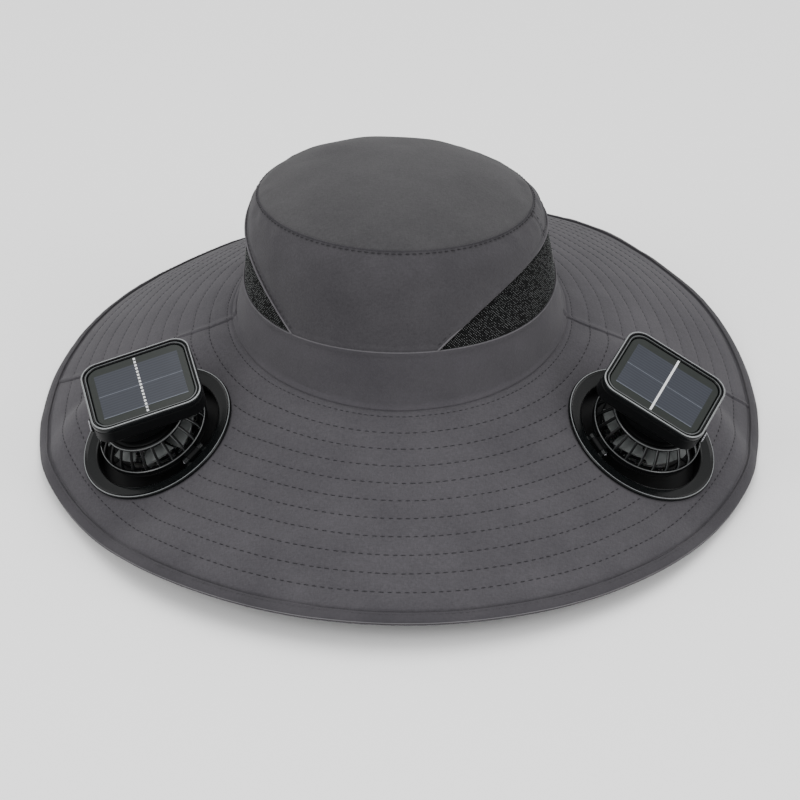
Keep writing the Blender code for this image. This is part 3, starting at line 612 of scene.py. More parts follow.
def shell(top, bottom, cyclic=False, keep=...):
    """Closed body between two grids of points, of the quads that are kept."""
    rows, columns = top.shape[:2]
    quads = grid_quads(rows, columns, cyclic)[keep]
    count = rows * columns
    edges = np.concatenate([quads[:, [side, (side + 1) % 4]] for side in range(4)])
    keys = edges[:, 0] * count + edges[:, 1]
    lone = edges[~np.isin(keys, edges[:, 1] * count + edges[:, 0])]
    rim = np.stack([lone[:, 1], lone[:, 0], lone[:, 0] + count, lone[:, 1] + count], axis=-1)
    faces = np.concatenate([quads, quads[:, ::-1] + count, rim])
    used, compact = np.unique(faces, return_inverse=True)
    points = np.concatenate([top.reshape(-1, 3), bottom.reshape(-1, 3)])[used]
    return points, facing_out(points, compact.reshape(faces.shape))


def raised(points, height, normal):
    return points + height[..., None] * normal


def cord(path, normals, radius, ring=True, sides=6):
    """Thin cord along a path, which closes on itself if it is a ring."""
    if ring:
        path, normals = path[:-1], normals[:-1]
        forward = unit(np.roll(path, -1, axis=0) - np.roll(path, 1, axis=0))
    else:
        forward = unit(np.gradient(path, axis=0))
    side = unit(np.cross(normals, forward))
    up = np.cross(forward, side)
    lines = [
        path + radius * (math.cos(angle) * side + math.sin(angle) * up)
        for angle in np.linspace(0.0, TURN, sides + 1)[:-1]
    ]
    return skin(np.stack(lines, axis=1), ring)


def repeated(template, size, count):
    """Faces of a body of size vertices, again for each of count bodies."""
    template = np.array(template)
    return (template + size * np.arange(count)[:, None, None]).reshape(-1, template.shape[1])


# Stitches

def stitch_run(parts, path, normals, pitch=STITCH_PITCH, length=STITCH_LENGTH, width=STITCH_WIDTH, seed=1):
    """Separate stitches along a path: each a short thread that rises from the cloth and dips back."""
    travel = np.concatenate([[0.0], np.cumsum(np.linalg.norm(np.diff(path, axis=0), axis=1))])
    count = int(travel[-1] / pitch)
    chance = np.random.default_rng(seed)
    centres = (np.arange(count) + 0.5) * travel[-1] / max(count, 1)
    centres = centres + chance.normal(0.0, 0.035 * pitch, count)
    halves = 0.5 * length * (1.0 + chance.normal(0.0, 0.07, count))

    def at(values, places):
        return np.stack([np.interp(places, travel, values[:, axis]) for axis in range(3)], axis=-1)

    rings = []
    for along, girth, lift in STITCH_STATIONS:
        places = np.clip(centres + along * halves, 0.0, travel[-1])
        middle = at(path, places)
        up = unit(at(normals, places))
        side = np.cross(up, unit(at(path, places + 0.0004) - at(path, places - 0.0004)))
        rings.append(np.stack([
            middle + (0.5 * width * girth * math.cos(angle)) * side
            + (0.42 * width * girth * math.sin(angle) + lift * width) * up
            for angle in (0.0, 0.5 * math.pi, math.pi, 1.5 * math.pi)
        ], axis=1))
    template = skin([range(4)] * len(STITCH_STATIONS))[1]
    parts.add(np.stack(rings, axis=1).reshape(-1, 3), repeated(template, 4 * len(STITCH_STATIONS), count))


# Brim

def side_seam(right, slant):
    """How far behind the crown's middle the brim's side seams run."""
    share = np.clip(slant / BRIM_SLANT, 0.0, 1.0)
    left_line = -0.0113 - 0.0150 * share + 0.0540 * share ** 2
    return np.where(right, -0.0092 + 0.0062 * share ** 2, left_line)


def brim_wobble(points):
    """Slow unevenness of the soft cloth, nought under the flanges."""
    near = smoothstep((fan_distances(points) - FLANGE_RADIUS - 0.002) / 0.020)
    return near * (0.00070 * soft_noise(points, 0.050, 3) + 0.00028 * soft_noise(points, 0.017, 5))


def brim_relief(points, slant):
    """Height of the brim's quilted surface over its plain one."""
    relief = brim_wobble(points)
    for ring in RINGS:
        relief = relief - 0.00024 * bump(slant - ring, 0.0010)
    between = np.abs((slant - RING_FIRST + 0.5 * RING_PITCH) % RING_PITCH - 0.5 * RING_PITCH)
    relief = relief + smoothstep((slant - 0.006) / 0.01) * 0.00010 * (1.0 - bump(between, 0.0032))
    for depth, place, width in (
            (0.0005, HEM_REACH + 0.0006, 0.0007), (0.0004, HEM_STITCHES, 0.0009),
            (0.0010, BRIM_SLANT - BINDING_WIDTH - 0.0008, 0.0008)):
        relief = relief - depth * bump(slant - place, width)
    from_seam = np.abs(points[..., 1] - SEAM[1] - side_seam(points[..., 0] > SEAM[0], slant))
    ridge = 1.0 - smoothstep((from_seam - SIDE_SEAM_HALF_WIDTH + 0.0004) / 0.0006)
    groove = bump(from_seam - SIDE_SEAM_HALF_WIDTH - 0.0005, 0.0006)
    relief = relief + 0.00070 * ridge - 0.00065 * groove
    return relief * smoothstep((fan_distances(points) - FLANGE_RADIUS - 0.0006) / 0.004)


def brim_rows():
    """Slants of the brim's rows, close together at each line of sewing."""
    rows = [-BRIM_LEDGE, 0.0, 0.0010, 0.0022, 0.0028, 0.0034, 0.0040, 0.0048, 0.0058, 0.0066, 0.0074, 0.0085,
            0.0110, BRIM_SLANT - 0.003, BRIM_SLANT]
    for ring in RINGS:
        rows += [ring + offset * MM for offset in (-3.6, -1.9, -1.1, -0.5, 0.0, 0.5, 1.1, 1.9, 3.6)]
    rows += [BRIM_SLANT - BINDING_WIDTH + offset * MM for offset in (-2.4, -1.4, -0.8, -0.3, 0.3)]
    return np.array(sorted(row for row in rows if row <= BRIM_SLANT))


def brim_half(name, back, replaced):
    """Half of the brim as quilted cloth. The two meet in the groove on the front of the side seams."""
    near = np.array([0.0, 0.4, 0.9, 1.5, 2.2, 3.2, 4.6]) * MM / 0.47
    inner = np.linspace(near[-1], 1.0 - near[-1], 190)
    columns = np.concatenate([near, inner[1:-1], 1.0 - near[::-1]])
    slant, share = np.meshgrid(brim_rows(), columns, indexing="ij")
    radius = np.linalg.norm(free_brim(0.0, slant)[..., :2] - SEAM[:2], axis=-1)
    offset = (SIDE_SEAM_HALF_WIDTH + 0.0005) / radius
    reach = HEAD_HALF_LENGTH + np.maximum(slant, 0.0) * math.cos(BRIM_DROOP)
    right = np.arcsin(side_seam(True, slant) / reach) - offset
    left = math.pi - np.arcsin(side_seam(False, slant) / reach) + offset
    start, end = (right, left) if back else (left, right + TURN)
    base, normal = on_surface(brim, start + (end - start) * share, slant)
    relief = brim_relief(base, slant)
    top = raised(base, relief, normal)
    under = 0.6 * np.minimum(relief, 0.0) - 0.1 * np.maximum(relief, 0.0)
    bottom = raised(base, -(BRIM_CLOTH + under), normal)
    keep = ... if back else cut_fan_holes(top, bottom)
    Parts(shell(top, bottom, keep=keep)).piece(name, ["brim"], "hat_cloth", [replaced])


def cut_fan_holes(top, bottom):
    """Pulls the rims on to clean circles round the fans' collars. The quads inside them aren't kept."""
    edge = OPENING_RADIUS + COLLAR_WALL + 2.0 * GAP
    inside = fan_distances(top) < edge
    keep = ~inside.reshape(-1)[grid_quads(*inside.shape, False)].all(axis=1)
    for seat in SEATS.values():
        for sheet in (top, bottom):
            along, across = seat_offsets(sheet, seat)
            away = np.linalg.norm(across, axis=-1)[..., None]
            moved = np.array(seat.translation) + along + across * edge / np.maximum(away, 1e-6)
            sheet[...] = np.where(away < edge, moved, sheet)
    return keep


def brim_path(slant, lift, underside=False, start=0.0, end=TURN, count=900):
    """Path of a line of sewing round the brim, with its normals, in stretches clear of the fans."""
    slants = np.full(count, slant)
    base, normal = on_surface(brim, np.linspace(start, end, count), slants)
    relief = brim_relief(base, slants)
    if underside:
        normal = -normal
        path = raised(base, BRIM_CLOTH + 0.6 * np.minimum(relief, 0.0) + lift, normal)
    else:
        path = raised(base, relief + lift, normal)
    clear = fan_distances(base) > FLANGE_RADIUS + 0.0006
    ends = np.flatnonzero(np.diff(clear.astype(int))) + 1
    for stretch in np.split(np.arange(count), ends):
        if clear[stretch[0]] and len(stretch) > 4:
            yield path[stretch], normal[stretch]


def make_brim():
    brim_half("brim_back_cloth", True, "brim_back")
    brim_half("brim_front_cloth", False, "brim_front")
    front, back, below = Parts(), Parts(), Parts()
    for index, ring in enumerate(RINGS):
        for path, normal in brim_path(ring, 0.0001, start=math.pi, count=450):
            stitch_run(front, path, normal, seed=index)
        for path, normal in brim_path(ring, 0.0, end=math.pi, count=450):
            stitch_run(back, path, normal, width=0.00034, seed=index)
        for path, normal in brim_path(ring, 0.0, True):
            stitch_run(below, path, normal, seed=40 + index)
    for path, normal in brim_path(HEM_STITCHES, 0.00005):
        stitch_run(front, path, normal, 0.0034, 0.0022, seed=20)
    front.piece("brim_stitches", ["stitch"], "band_cloth")
    back.piece("brim_stitches_back", ["faint_stitch"], "band_cloth")
    below.piece("brim_stitches_below", ["stitch"], "band_cloth")


def brim_edge(azimuth, across):
    """Middle of the cloth near the edge, and its normal."""
    slant = np.full(np.shape(azimuth), BRIM_SLANT)
    base, normal = on_surface(brim, azimuth, slant)
    outward = unit(base - brim(azimuth, slant - 0.004))
    place = brim(azimuth, slant + across) if across < 0.0 else base + across * outward
    return raised(place, brim_wobble(place) - 0.5 * BRIM_CLOTH, normal), normal


def make_binding():
    """Cloth strip folded over the brim's edge, with slight puckers between its stitches."""
    half = 0.5 * BRIM_CLOTH
    section = (
        (-4.8, 0.10), (-4.9, 0.70), (-4.7, 1.05), (-4.2, 1.15), (-3.6, 1.00), (-2.8, 1.15), (-1.2, 1.10),
        (0.2, 0.85), (1.1, 0.30), (1.5, 0.0), (1.1, -0.30), (0.2, -0.85), (-1.2, -1.05), (-3.0, -1.05),
        (-3.6, -0.90), (-4.3, -1.05), (-4.7, -0.70), (-4.8, -0.30), (-3.5, -0.25), (0.3, -0.25), (0.6, 0.0),
        (0.3, 0.25), (-3.5, 0.25),
    )
    azimuth = np.linspace(0.0, TURN, 521)[:-1]
    rows = []
    for across, beyond in section:
        place, normal = brim_edge(azimuth, across * MM)
        side = np.sign(beyond)
        pucker = 0.00012 * soft_noise(place, 0.0035, 8) + 0.00020 * soft_noise(place, 0.011, 9)
        rows.append(raised(place, side * (half + abs(beyond) * MM + (abs(beyond) > 0.6) * pucker), normal))
    vertices, faces = skin(rows, ring=True)
    strip_faces = facing_out(np.array(vertices), np.array(faces))
    Parts((vertices, strip_faces)).piece("brim_binding_cloth", ["binding"], "band_cloth", ["brim_binding"])
    runs = Parts()
    place, normal = brim_edge(np.linspace(0.0, TURN, 1400), -0.0036)
    for side, lift in ((1.0, half + 0.00102), (-1.0, half + 0.00095)):
        stitch_run(runs, place + side * lift * normal, side * normal, 0.0034, 0.0022, 0.00030, seed=60)
    runs.piece("binding_stitches", ["binding"], "band_cloth")
    # Thin pale cord along the brim's lower rim, a painted highlight.
    place, normal = brim_edge(np.linspace(0.0, TURN, 901), 0.00105)
    Parts(cord(place + 0.00105 * normal, normal, 0.00024)).piece("brim_rim_highlight", ["rim_highlight"], "band_cloth")


# Crown, vents and band

def stretched_noise(points, rise, scale, seed):
    """Noise whose features are longer upwards where rise is under one."""
    return soft_noise(points * np.array((1.0, 1.0, rise)), scale, seed)


def crown_relief(share, points):
    """Soft folds of the unlined crown, pulled in where it is sewn."""
    inner = smoothstep((share - 0.02) / 0.25) * smoothstep((0.99 - share) / 0.20)
    folds = 0.0016 * stretched_noise(points, 0.40, 0.030, 11) + 0.0006 * soft_noise(points, 0.013, 12)
    return inner * folds + 0.0006 * bump(share - 0.90, 0.07) * stretched_noise(points, 0.3, 0.0075, 13)


def wall_panel(name, start, end, replaced):
    inset = 0.2 * SEAM_GAP / HEAD_HALF_WIDTH
    near_edge = [0.0, 0.010, 0.022, 0.036, 0.055, 0.08]
    levels = np.concatenate([near_edge, np.linspace(0.11, 0.90, 26), [0.93, 0.955, 0.975, 0.99, 1.0]])
    level, azimuth = np.meshgrid(levels, np.linspace(start + inset, end - inset, 260), indexing="ij")
    height = wall_height(azimuth)
    low = (vent_rise(azimuth) + 0.5 * SEAM_GAP) / height
    share = low + (1.0 - low) * level
    base, normal = on_surface(wall, azimuth, share)
    from_seam = np.minimum(azimuth - start, end - azimuth) * HEAD_HALF_WIDTH
    relief = crown_relief(share, base)
    relief = relief - 0.0005 * bump((1.0 - share) * height - 0.0014, 0.0009)
    relief = relief + 0.0006 * (1.0 - smoothstep(((share - low) * height - 0.0018) / 0.0010))
    relief = relief - 0.0005 * bump(from_seam, 0.0010) - 0.0003 * bump(from_seam - 0.0030, 0.0008)
    body = shell(raised(base, relief, normal), raised(base, 0.5 * relief - CLOTH, normal))
    Parts(body).piece(name, ["crown"], "hat_cloth", [replaced])


def across_vent(middle, reach, count):
    """Azimuths over a vent, closer together towards its ends."""
    return middle + reach * VENT_HALF_SPAN * np.sin(np.linspace(-0.5 * math.pi, 0.5 * math.pi, count))


def arch_line(middle, rise_offset, lift):
    """Path along a vent's arch, from one end on the band to the other."""
    azimuth = across_vent(middle, 0.9985, 260)
    share = np.maximum(vent_rise(azimuth) + rise_offset, 0.0) / wall_height(azimuth)
    points, normal = on_surface(wall, azimuth, share)
    return points + lift * normal, normal


def make_crown():
    right, left = VENT_AZIMUTHS["right"], VENT_AZIMUTHS["left"]
    wall_panel("crown_front_cloth", left, right, "crown_front")
    wall_panel("crown_back_cloth", right, left + TURN, "crown_back")
    azimuth = np.linspace(0.0, TURN, 900)
    share = 1.0 - 0.0013 / wall_height(azimuth)
    path, normal = on_surface(wall, azimuth, share)
    path = raised(path, crown_relief(share, path) - 0.0001, normal)
    runs = Parts()
    stitch_run(runs, path, normal, 0.0036, 0.0024, 0.00062, seed=80)
    piping = Parts()
    for index, middle in enumerate((right, left)):
        for side in (-1.0, 1.0):
            share = np.linspace(1.0, VENT_HEIGHT / wall_height(middle) + 0.03, 60)
            path, normal = on_surface(wall, np.full(60, middle + side * 0.0030 / HEAD_HALF_WIDTH), share)
            stitch_run(runs, path + 0.0001 * normal, normal, 0.0036, 0.0024, seed=82 + index)
        path, normal = arch_line(middle, 0.0026, 0.00055)
        stitch_run(runs, path, normal, 0.0036, 0.0024, 0.00040, seed=86 + index)
        # Real piping along the arch, made paler than the cloth as a painted highlight.
        path, normal = arch_line(middle, 0.0002, 0.00085)
        piping.add(*cord(path, normal, 0.00054, False))
        piping.add(*cord(path - 0.0006 * normal, normal, 0.00052, False), slot=1)
    runs.piece("crown_stitches", ["stitch"], "band_cloth")
    piping.piece("vent_piping", ["piping", "crown"], "band_cloth")
    edge = tip(np.linspace(0.0, TURN, 721), 1.0)
    seam_cord = Parts(cord(edge - np.array((0.0, 0.0, 0.0005)), unit(edge - SEAM), 0.00042))
    seam_cord.piece("tip_seam_cord", ["faint_stitch"], "band_cloth")


def make_tip():
    """The domed top, its middle closed by triangles about one point on each side."""
    shares = np.concatenate([np.linspace(0.0, 0.86, 22)[1:], [0.89, 0.92, 0.945, 0.962, 0.976, 0.988, 0.999]])
    share, around = np.meshgrid(shares, np.linspace(0.0, TURN, 241)[:-1], indexing="ij")
    base, normal = on_surface(tip, around, share)
    from_edge = (1.0 - share) * 0.085
    relief = 0.0012 * soft_noise(base, 0.045, 21) + 0.0006 * soft_noise(base, 0.018, 22)
    relief = relief * smoothstep((0.99 - share) / 0.10)
    relief = relief + 0.0007 * bump(from_edge - 0.006, 0.0045) * soft_noise(base, 0.0085, 23)
    relief = relief - 0.0004 * bump(from_edge, 0.0008)
    sheets = raised(base, relief, normal), raised(base, 0.5 * relief - CLOTH, normal)
    points, faces = shell(*sheets, True)
    faces = [tuple(face) for face in faces.tolist()]
    edges = {edge for face in faces for edge in zip(face, face[1:] + face[:1])}
    rings = [
        [int(np.argmin(np.linalg.norm(points - point, axis=1))) for point in sheet[0]] for sheet in sheets
    ]
    faces = [face for face in faces if not all(len(set(face) & set(ring)) == 2 for ring in rings)]
    vertices = list(points)
    for ring, drop in zip(rings, (0.0, CLOTH)):
        centre = len(vertices)
        vertices.append(tip(0.0, 0.0) - np.array((0.0, 0.0, drop)))
        for start, end in zip(ring, ring[1:] + ring[:1]):
            faces.append((end, start, centre) if (start, end) in edges else (start, end, centre))
    Parts((vertices, faces)).piece("crown_tip_cloth", ["tip"], "hat_cloth", ["crown_tip"])


def band_hem(azimuth):
    """Rows of the band's foot, turned out over the start of the brim."""
    top, bottom = [], []
    for slant, lift, under in (
            (0.0004, 0.00145, 0.00030), (0.0012, 0.00105, 0.00025), (0.0020, 0.00092, 0.00025),
            (HEM_REACH - 0.0003, 0.00080, 0.00025), (HEM_REACH, 0.00050, 0.00025)):
        slants = np.full(len(azimuth), slant)
        base, normal = on_surface(brim, azimuth, slants)
        relief = brim_relief(base, slants)
        top.append(raised(base, relief + lift, normal))
        bottom.append(raised(base, relief + under, normal))
    return top, bottom


def make_band():
    levels = np.array([0.0, 0.02, 0.05, 0.09, 0.14, 0.22, 0.34, 0.5, 0.66, 0.8, 0.9, 0.955])
    azimuth = np.linspace(0.0, TURN, 361)[:-1]
    share, around = np.meshgrid(levels, azimuth, indexing="ij")
    base, normal = on_surface(band, around, share)
    relief = 0.00095 * stretched_noise(base, 0.8, 0.024, 31) + 0.00035 * soft_noise(base, 0.010, 32)
    relief = relief * smoothstep(share / 0.15) * smoothstep((1.0 - share) / 0.2)
    relief = relief + 0.0007 * (1.0 - smoothstep((share * BAND_HEIGHT - 0.0016) / 0.0010))
    relief = relief + 0.0006 * np.sin(math.pi * share) + 0.0007 * smoothstep((share - 0.7) / 0.3)
    hem_top, hem_bottom = band_hem(azimuth)
    body = shell(np.concatenate([raised(base, relief, normal), hem_top]),
                 np.concatenate([base - BAND_CLOTH * normal, hem_bottom]), True)
    Parts(body).piece("hat_band_cloth", ["band"], "band_cloth", ["hat_band"])
    # Real piping along the band's top, made paler than the cloth as a painted highlight.
    edge, normal = on_surface(band, np.linspace(0.0, TURN, 721), np.zeros(721))
    Parts(cord(edge + 0.0005 * normal, normal, 0.00042)).piece("band_piping", ["piping"], "band_cloth")


def on_vent(places, middle):
    """Points on the vent for (along, up) places in metres, and whether they lie inside its arch."""
    azimuth = middle + (places[:, 0] / NET_LENGTH - 0.5) * 2.0 * NET_REACH * VENT_HALF_SPAN
    rise = vent_rise(azimuth)
    points, normal = on_surface(wall, azimuth, np.minimum(places[:, 1], rise) / wall_height(azimuth))
    wave = 0.00025 * soft_noise(points, 0.02, 42)
    return raised(points, wave - 0.0004, normal), (places[:, 1] <= rise + 0.0005) & (rise > 0.0005)


def make_vent(side, middle):
    """Netting of crossing threads, with pale knots as painted glints, over a thin dark sheet of painted
    shade.
    """
    segments = []
    for row in range(int(VENT_HEIGHT / (0.5 * NET_PITCH)) + 2):
        for column in range(int(NET_LENGTH / NET_PITCH)):
            place = (column + 0.5 * (row % 2)) * NET_PITCH
            for step in (-0.5, 0.5):
                segments.append((place, row, place + step * NET_PITCH, row + 1))
    segments = np.array(segments) * np.array((1.0, NET_RISE, 1.0, NET_RISE))
    (starts, start_ok), (ends, end_ok) = on_vent(segments[:, :2], middle), on_vent(segments[:, 2:], middle)
    starts, ends = starts[start_ok & end_ok], ends[start_ok & end_ok]
    forward = unit(ends - starts)
    outward = unit(0.5 * (starts + ends) - (SEAM + np.array((0.0, 0.0, 0.03))))
    sideways = unit(np.cross(outward, forward))
    up = np.cross(forward, sideways)
    corners = []
    for third in range(3):
        angle = 0.5 * math.pi + third * TURN / 3.0
        offset = NET_THREAD * (math.cos(angle) * sideways + math.sin(angle) * up)
        corners += [starts + offset, ends + offset]
    net = Parts()
    net.add(np.stack(corners, axis=1).reshape(-1, 3),
            repeated(((0, 2, 3, 1), (2, 4, 5, 3), (4, 0, 1, 5)), 6, len(starts)))
    # Knots at a random share of the crossings, pale as painted glints.
    knots = np.unique(np.round(starts, 6), axis=0)
    knots = knots[np.random.default_rng(90).random(len(knots)) < 0.60]
    axes = NET_KNOT * np.array(((1, 0, 0), (0, 1, 0), (-1, 0, 0), (0, -1, 0), (0, 0, 0.9), (0, 0, -0.9)))
    octahedron = ((0, 1, 4), (1, 2, 4), (2, 3, 4), (3, 0, 4), (1, 0, 5), (2, 1, 5), (3, 2, 5), (0, 3, 5))
    net.add((knots[:, None, :] + axes).reshape(-1, 3), repeated(octahedron, 6, len(knots)), 1)
    # Dark sheet behind the netting, painted shade of the crown's inside.
    level, around = np.meshgrid(np.linspace(0.0, 1.0, 8), across_vent(middle, NET_REACH, 90), indexing="ij")
    base, normal = on_surface(wall, around, level * vent_rise(around) / wall_height(around))
    sag = -0.0012 + 0.0003 * soft_noise(base, 0.02, 41)
    net.add(*shell(raised(base, sag, normal), raised(base, sag - 0.0003, normal)), 2)
    net.piece("vent_net_" + side, ["net", "knot_glint", "shade_sheet"], "netting", ["vent_mesh_" + side])


# Fan units

def fan_piece(parts, fan, part, ending, materials, slot, matrix, body="head"):
    """A fan's piece, on the hat, on its head or on its rotor."""
    name = "fan_%s_%s" % (fan.side, part)
    body = body if body == "hat" else "%s_%s" % (body, fan.side)
    parts.piece("%s_%s" % (name, ending), materials, slot, [name], body, matrix)


def hinge_frame(fan):
    turn = Matrix.Rotation(math.radians(fan.hinge_turn_deg), 4, "Z")
    return turn @ Matrix.Translation((HINGE_RADIUS, 0.0, HINGE_HEIGHT))


def eye_tube(length):
    """Barrel of the hinge, bored for its pin."""
    half, soft, hole = 0.5 * length, 0.0003, PIN_RADIUS + 0.0001
    return lathe(((hole, -half), (KNUCKLE_RADIUS - soft, -half), (KNUCKLE_RADIUS, -half + soft),
                  (KNUCKLE_RADIUS, half - soft), (KNUCKLE_RADIUS - soft, half), (hole, half)), 28)


def along_y(middle=0.0):
    return Matrix.Translation((0.0, middle, 0.0)) @ Matrix.Rotation(0.5 * math.pi, 4, "X")


def make_flange(fan, seat):
    collar = OPENING_RADIUS + COLLAR_WALL
    profile = (
        (collar, GAP), (0.0440, GAP), (0.0447, 0.00040), (0.0450, 0.0008), (0.04505, 0.0013),
        (0.04490, 0.0019), (0.04455, 0.00225), (0.0441, 0.0023), (0.0437, 0.00215), (0.0433, 0.0018),
        (0.0430, 0.0015), (0.0422, 0.0014), (0.0400, 0.00125), (0.0382, 0.0011), (0.0373, 0.0009),
        (0.0368, 0.0005), (OPENING_RADIUS, -0.0003), (OPENING_RADIUS, 0.0012 - COLLAR_DEPTH),
        (LEDGE_RADIUS, 0.0012 - COLLAR_DEPTH), (LEDGE_RADIUS, -COLLAR_DEPTH), (collar, -COLLAR_DEPTH),
    )
    parts = Parts()
    rows = len(profile)
    # The outer bead's crest is painted pale as a highlight.
    parts.add(*lathe(profile, 144), row_slots(rows, 144, (6,), range(14, rows)))
    hinge = hinge_frame(fan)
    for side in (-1.0, 1.0):
        middle = side * (KNUCKLE_HALF_LENGTH + GAP + 0.5 * EAR_WIDTH)
        parts.add(*eye_tube(EAR_WIDTH), matrix=hinge @ along_y(middle))
        low = (PIN_RADIUS + 0.0003, middle - 0.45 * EAR_WIDTH, -1.6 * MM)
        high = (OPENING_RADIUS + 0.0008 - HINGE_RADIUS, middle + 0.45 * EAR_WIDTH, -0.4 * MM)
        parts.add(*soft_box(low, high, 0.0002), matrix=hinge)
    fan_piece(parts, fan, "flange", "dish", ["gloss", "trim", "satin"], "black_gloss", seat, "hat")


def make_clamp(fan, seat):
    top = -BRIM_CLOTH - GAP
    low = top - CLAMP_THICKNESS
    inner = OPENING_RADIUS + COLLAR_WALL + GAP
    profile = ((inner, top), (CLAMP_RADIUS, top), (CLAMP_RADIUS, low + 0.0006),
               (CLAMP_RADIUS - 0.0005, low), (inner + 0.0004, low), (inner, low + 0.0004))
    fan_piece(Parts(lathe(profile, 120)), fan, "clamp_ring", "round", ["satin"], "black_matt", seat, "hat")


def make_pin(fan, seat):
    half = KNUCKLE_HALF_LENGTH + GAP + EAR_WIDTH
    profile = ((0.0006, -half), (PIN_RADIUS, -half + 0.0004), (PIN_RADIUS, half - 0.0004), (0.0006, half))
    parts = Parts()
    parts.add(*lathe(profile, 24, ring=False), matrix=hinge_frame(fan) @ along_y())
    fan_piece(parts, fan, "hinge_pin", "round", ["steel_and_glint"], "pin_steel", seat, "hat")


def bar_loops(angle):
    """One rib of the cage, with rounded edges, from its base ring to its top plate."""
    ray = (math.cos(angle), math.sin(angle))
    loops = []
    for share in np.linspace(-0.04, 0.98, 9):
        height = CAGE_RING_TOP + share * (CAGE_SHOULDER - CAGE_RING_TOP)
        swell = 0.0009 * math.sin(math.pi * share)
        radius = min(CAGE_RADIUS + share * (CAGE_TOP_RADIUS - CAGE_RADIUS) + swell, CAGE_RADIUS - 0.0006)
        half = 0.00072 + 0.0004 * abs(share - 0.5) ** 2
        outline = ((-half, -0.0004), (-0.6 * half, 0.0), (0.6 * half, 0.0), (half, -0.0004),
                   (half, -CAGE_WALL + 0.0003), (0.6 * half, -CAGE_WALL), (-0.6 * half, -CAGE_WALL),
                   (-half, -CAGE_WALL + 0.0003))
        loops.append([
            ((radius + depth) * ray[0] - side * ray[1], (radius + depth) * ray[1] + side * ray[0], height)
            for side, depth in outline
        ])
    return loops


def make_cage(fan, head):
    inner = CAGE_RADIUS - CAGE_WALL
    base = (
        (inner, CAGE_FOOT + 0.0003), (inner + 0.0004, CAGE_FOOT), (CAGE_RADIUS - 0.0004, CAGE_FOOT),
        (CAGE_RADIUS, CAGE_FOOT + 0.0005), (CAGE_RADIUS, 0.0029),
        (CAGE_RADIUS - 0.0001, CAGE_RING_TOP - 0.0003), (CAGE_RADIUS - 0.0005, CAGE_RING_TOP),
        (inner + 0.0003, CAGE_RING_TOP - 0.0001), (inner, 0.0034),
    )
    rim, plate = CAGE_TOP_RADIUS, CAGE_TOP - CAGE_PLATE
    top = (
        (0.0012, plate), (rim - 0.0024, plate), (rim - 0.0017, plate - 0.0011),
        (rim - 0.0006, plate - 0.0012), (rim, CAGE_SHOULDER - 0.0008), (rim, CAGE_SHOULDER),
        (rim - 0.0004, CAGE_SHOULDER + 0.0006),
        (rim - 0.0012, CAGE_TOP), (rim - 0.0020, CAGE_TOP - 0.0001), (rim - 0.0026, CAGE_TOP - 0.0006),
        (rim - 0.0032, CAGE_TOP - 0.0002), (rim - 0.0040, CAGE_TOP), (0.0012, CAGE_TOP),
    )
    parts = Parts()
    for profile in (base, top):
        # Each ring's rounded top edge is painted a dim highlight.
        parts.add(*lathe(profile, 120), row_slots(len(profile), 120, (5,)))
    for index in range(CAGE_BARS):
        vertices, faces = skin(bar_loops(TURN * (index + 0.5) / CAGE_BARS))
        # One bevel of each rib is painted a dim highlight.
        parts.add(vertices, faces, [int(face % 8 == 0) for face in range(len(faces))])
    hinge = hinge_frame(fan)
    parts.add(*eye_tube(2.0 * KNUCKLE_HALF_LENGTH), matrix=hinge @ along_y())
    low = (CAGE_RADIUS - 0.5 * CAGE_WALL - HINGE_RADIUS, -0.95 * KNUCKLE_HALF_LENGTH, -0.8 * MM)
    high = (-PIN_RADIUS - 0.0002, 0.95 * KNUCKLE_HALF_LENGTH, 1.4 * MM)
    parts.add(*soft_box(low, high, 0.0003), matrix=hinge)
    fan_piece(parts, fan, "cage", "ribbed", ["satin", "dim_highlight"], "black_matt", head)


def make_grille(fan, head):
    """Flat guard under the rotor: rings on spokes."""
    high = CAGE_FOOT - GAP
    low = high - GRILLE_THICKNESS
    parts = Parts()
    for radius, half in ((CAGE_RADIUS - 0.0010, 0.0007), (0.0255, 0.0005), (0.0213, 0.0005), (0.0171, 0.0005),
                         (0.0129, 0.0005), (0.0070, 0.0020)):
        inner, outer = radius - half, radius + half
        profile = ((inner, low), (outer, low), (outer, high - 0.0002), (outer - 0.0002, high),
                   (inner + 0.0002, high), (inner, high - 0.0002))
        parts.add(*lathe(profile, 90))
    for index in range(GRILLE_SPOKES):
        spoke = soft_box(
            (0.0075, -0.0008, low + 0.0001), (CAGE_RADIUS - 0.0010, 0.0008, high - 0.0001), 0.0002)
        parts.add(*spoke, matrix=Matrix.Rotation(TURN * index / GRILLE_SPOKES, 4, "Z"))
    fan_piece(parts, fan, "lower_grille", "rings", ["satin"], "black_matt", head)


def make_motor(fan, head):
    top = CAGE_TOP - CAGE_PLATE - GAP
    base = top - MOTOR_HEIGHT
    foot = base - GAP - HUB_HEIGHT
    profile = ((0.0008, foot), (SHAFT_RADIUS, foot + 0.0005), (SHAFT_RADIUS, base),
               (MOTOR_RADIUS - 0.0005, base), (MOTOR_RADIUS, base + 0.0005), (MOTOR_RADIUS, top))
    fan_piece(Parts(lathe(profile, 48, ring=False)), fan, "motor", "round", ["satin"], "black_matt", head)


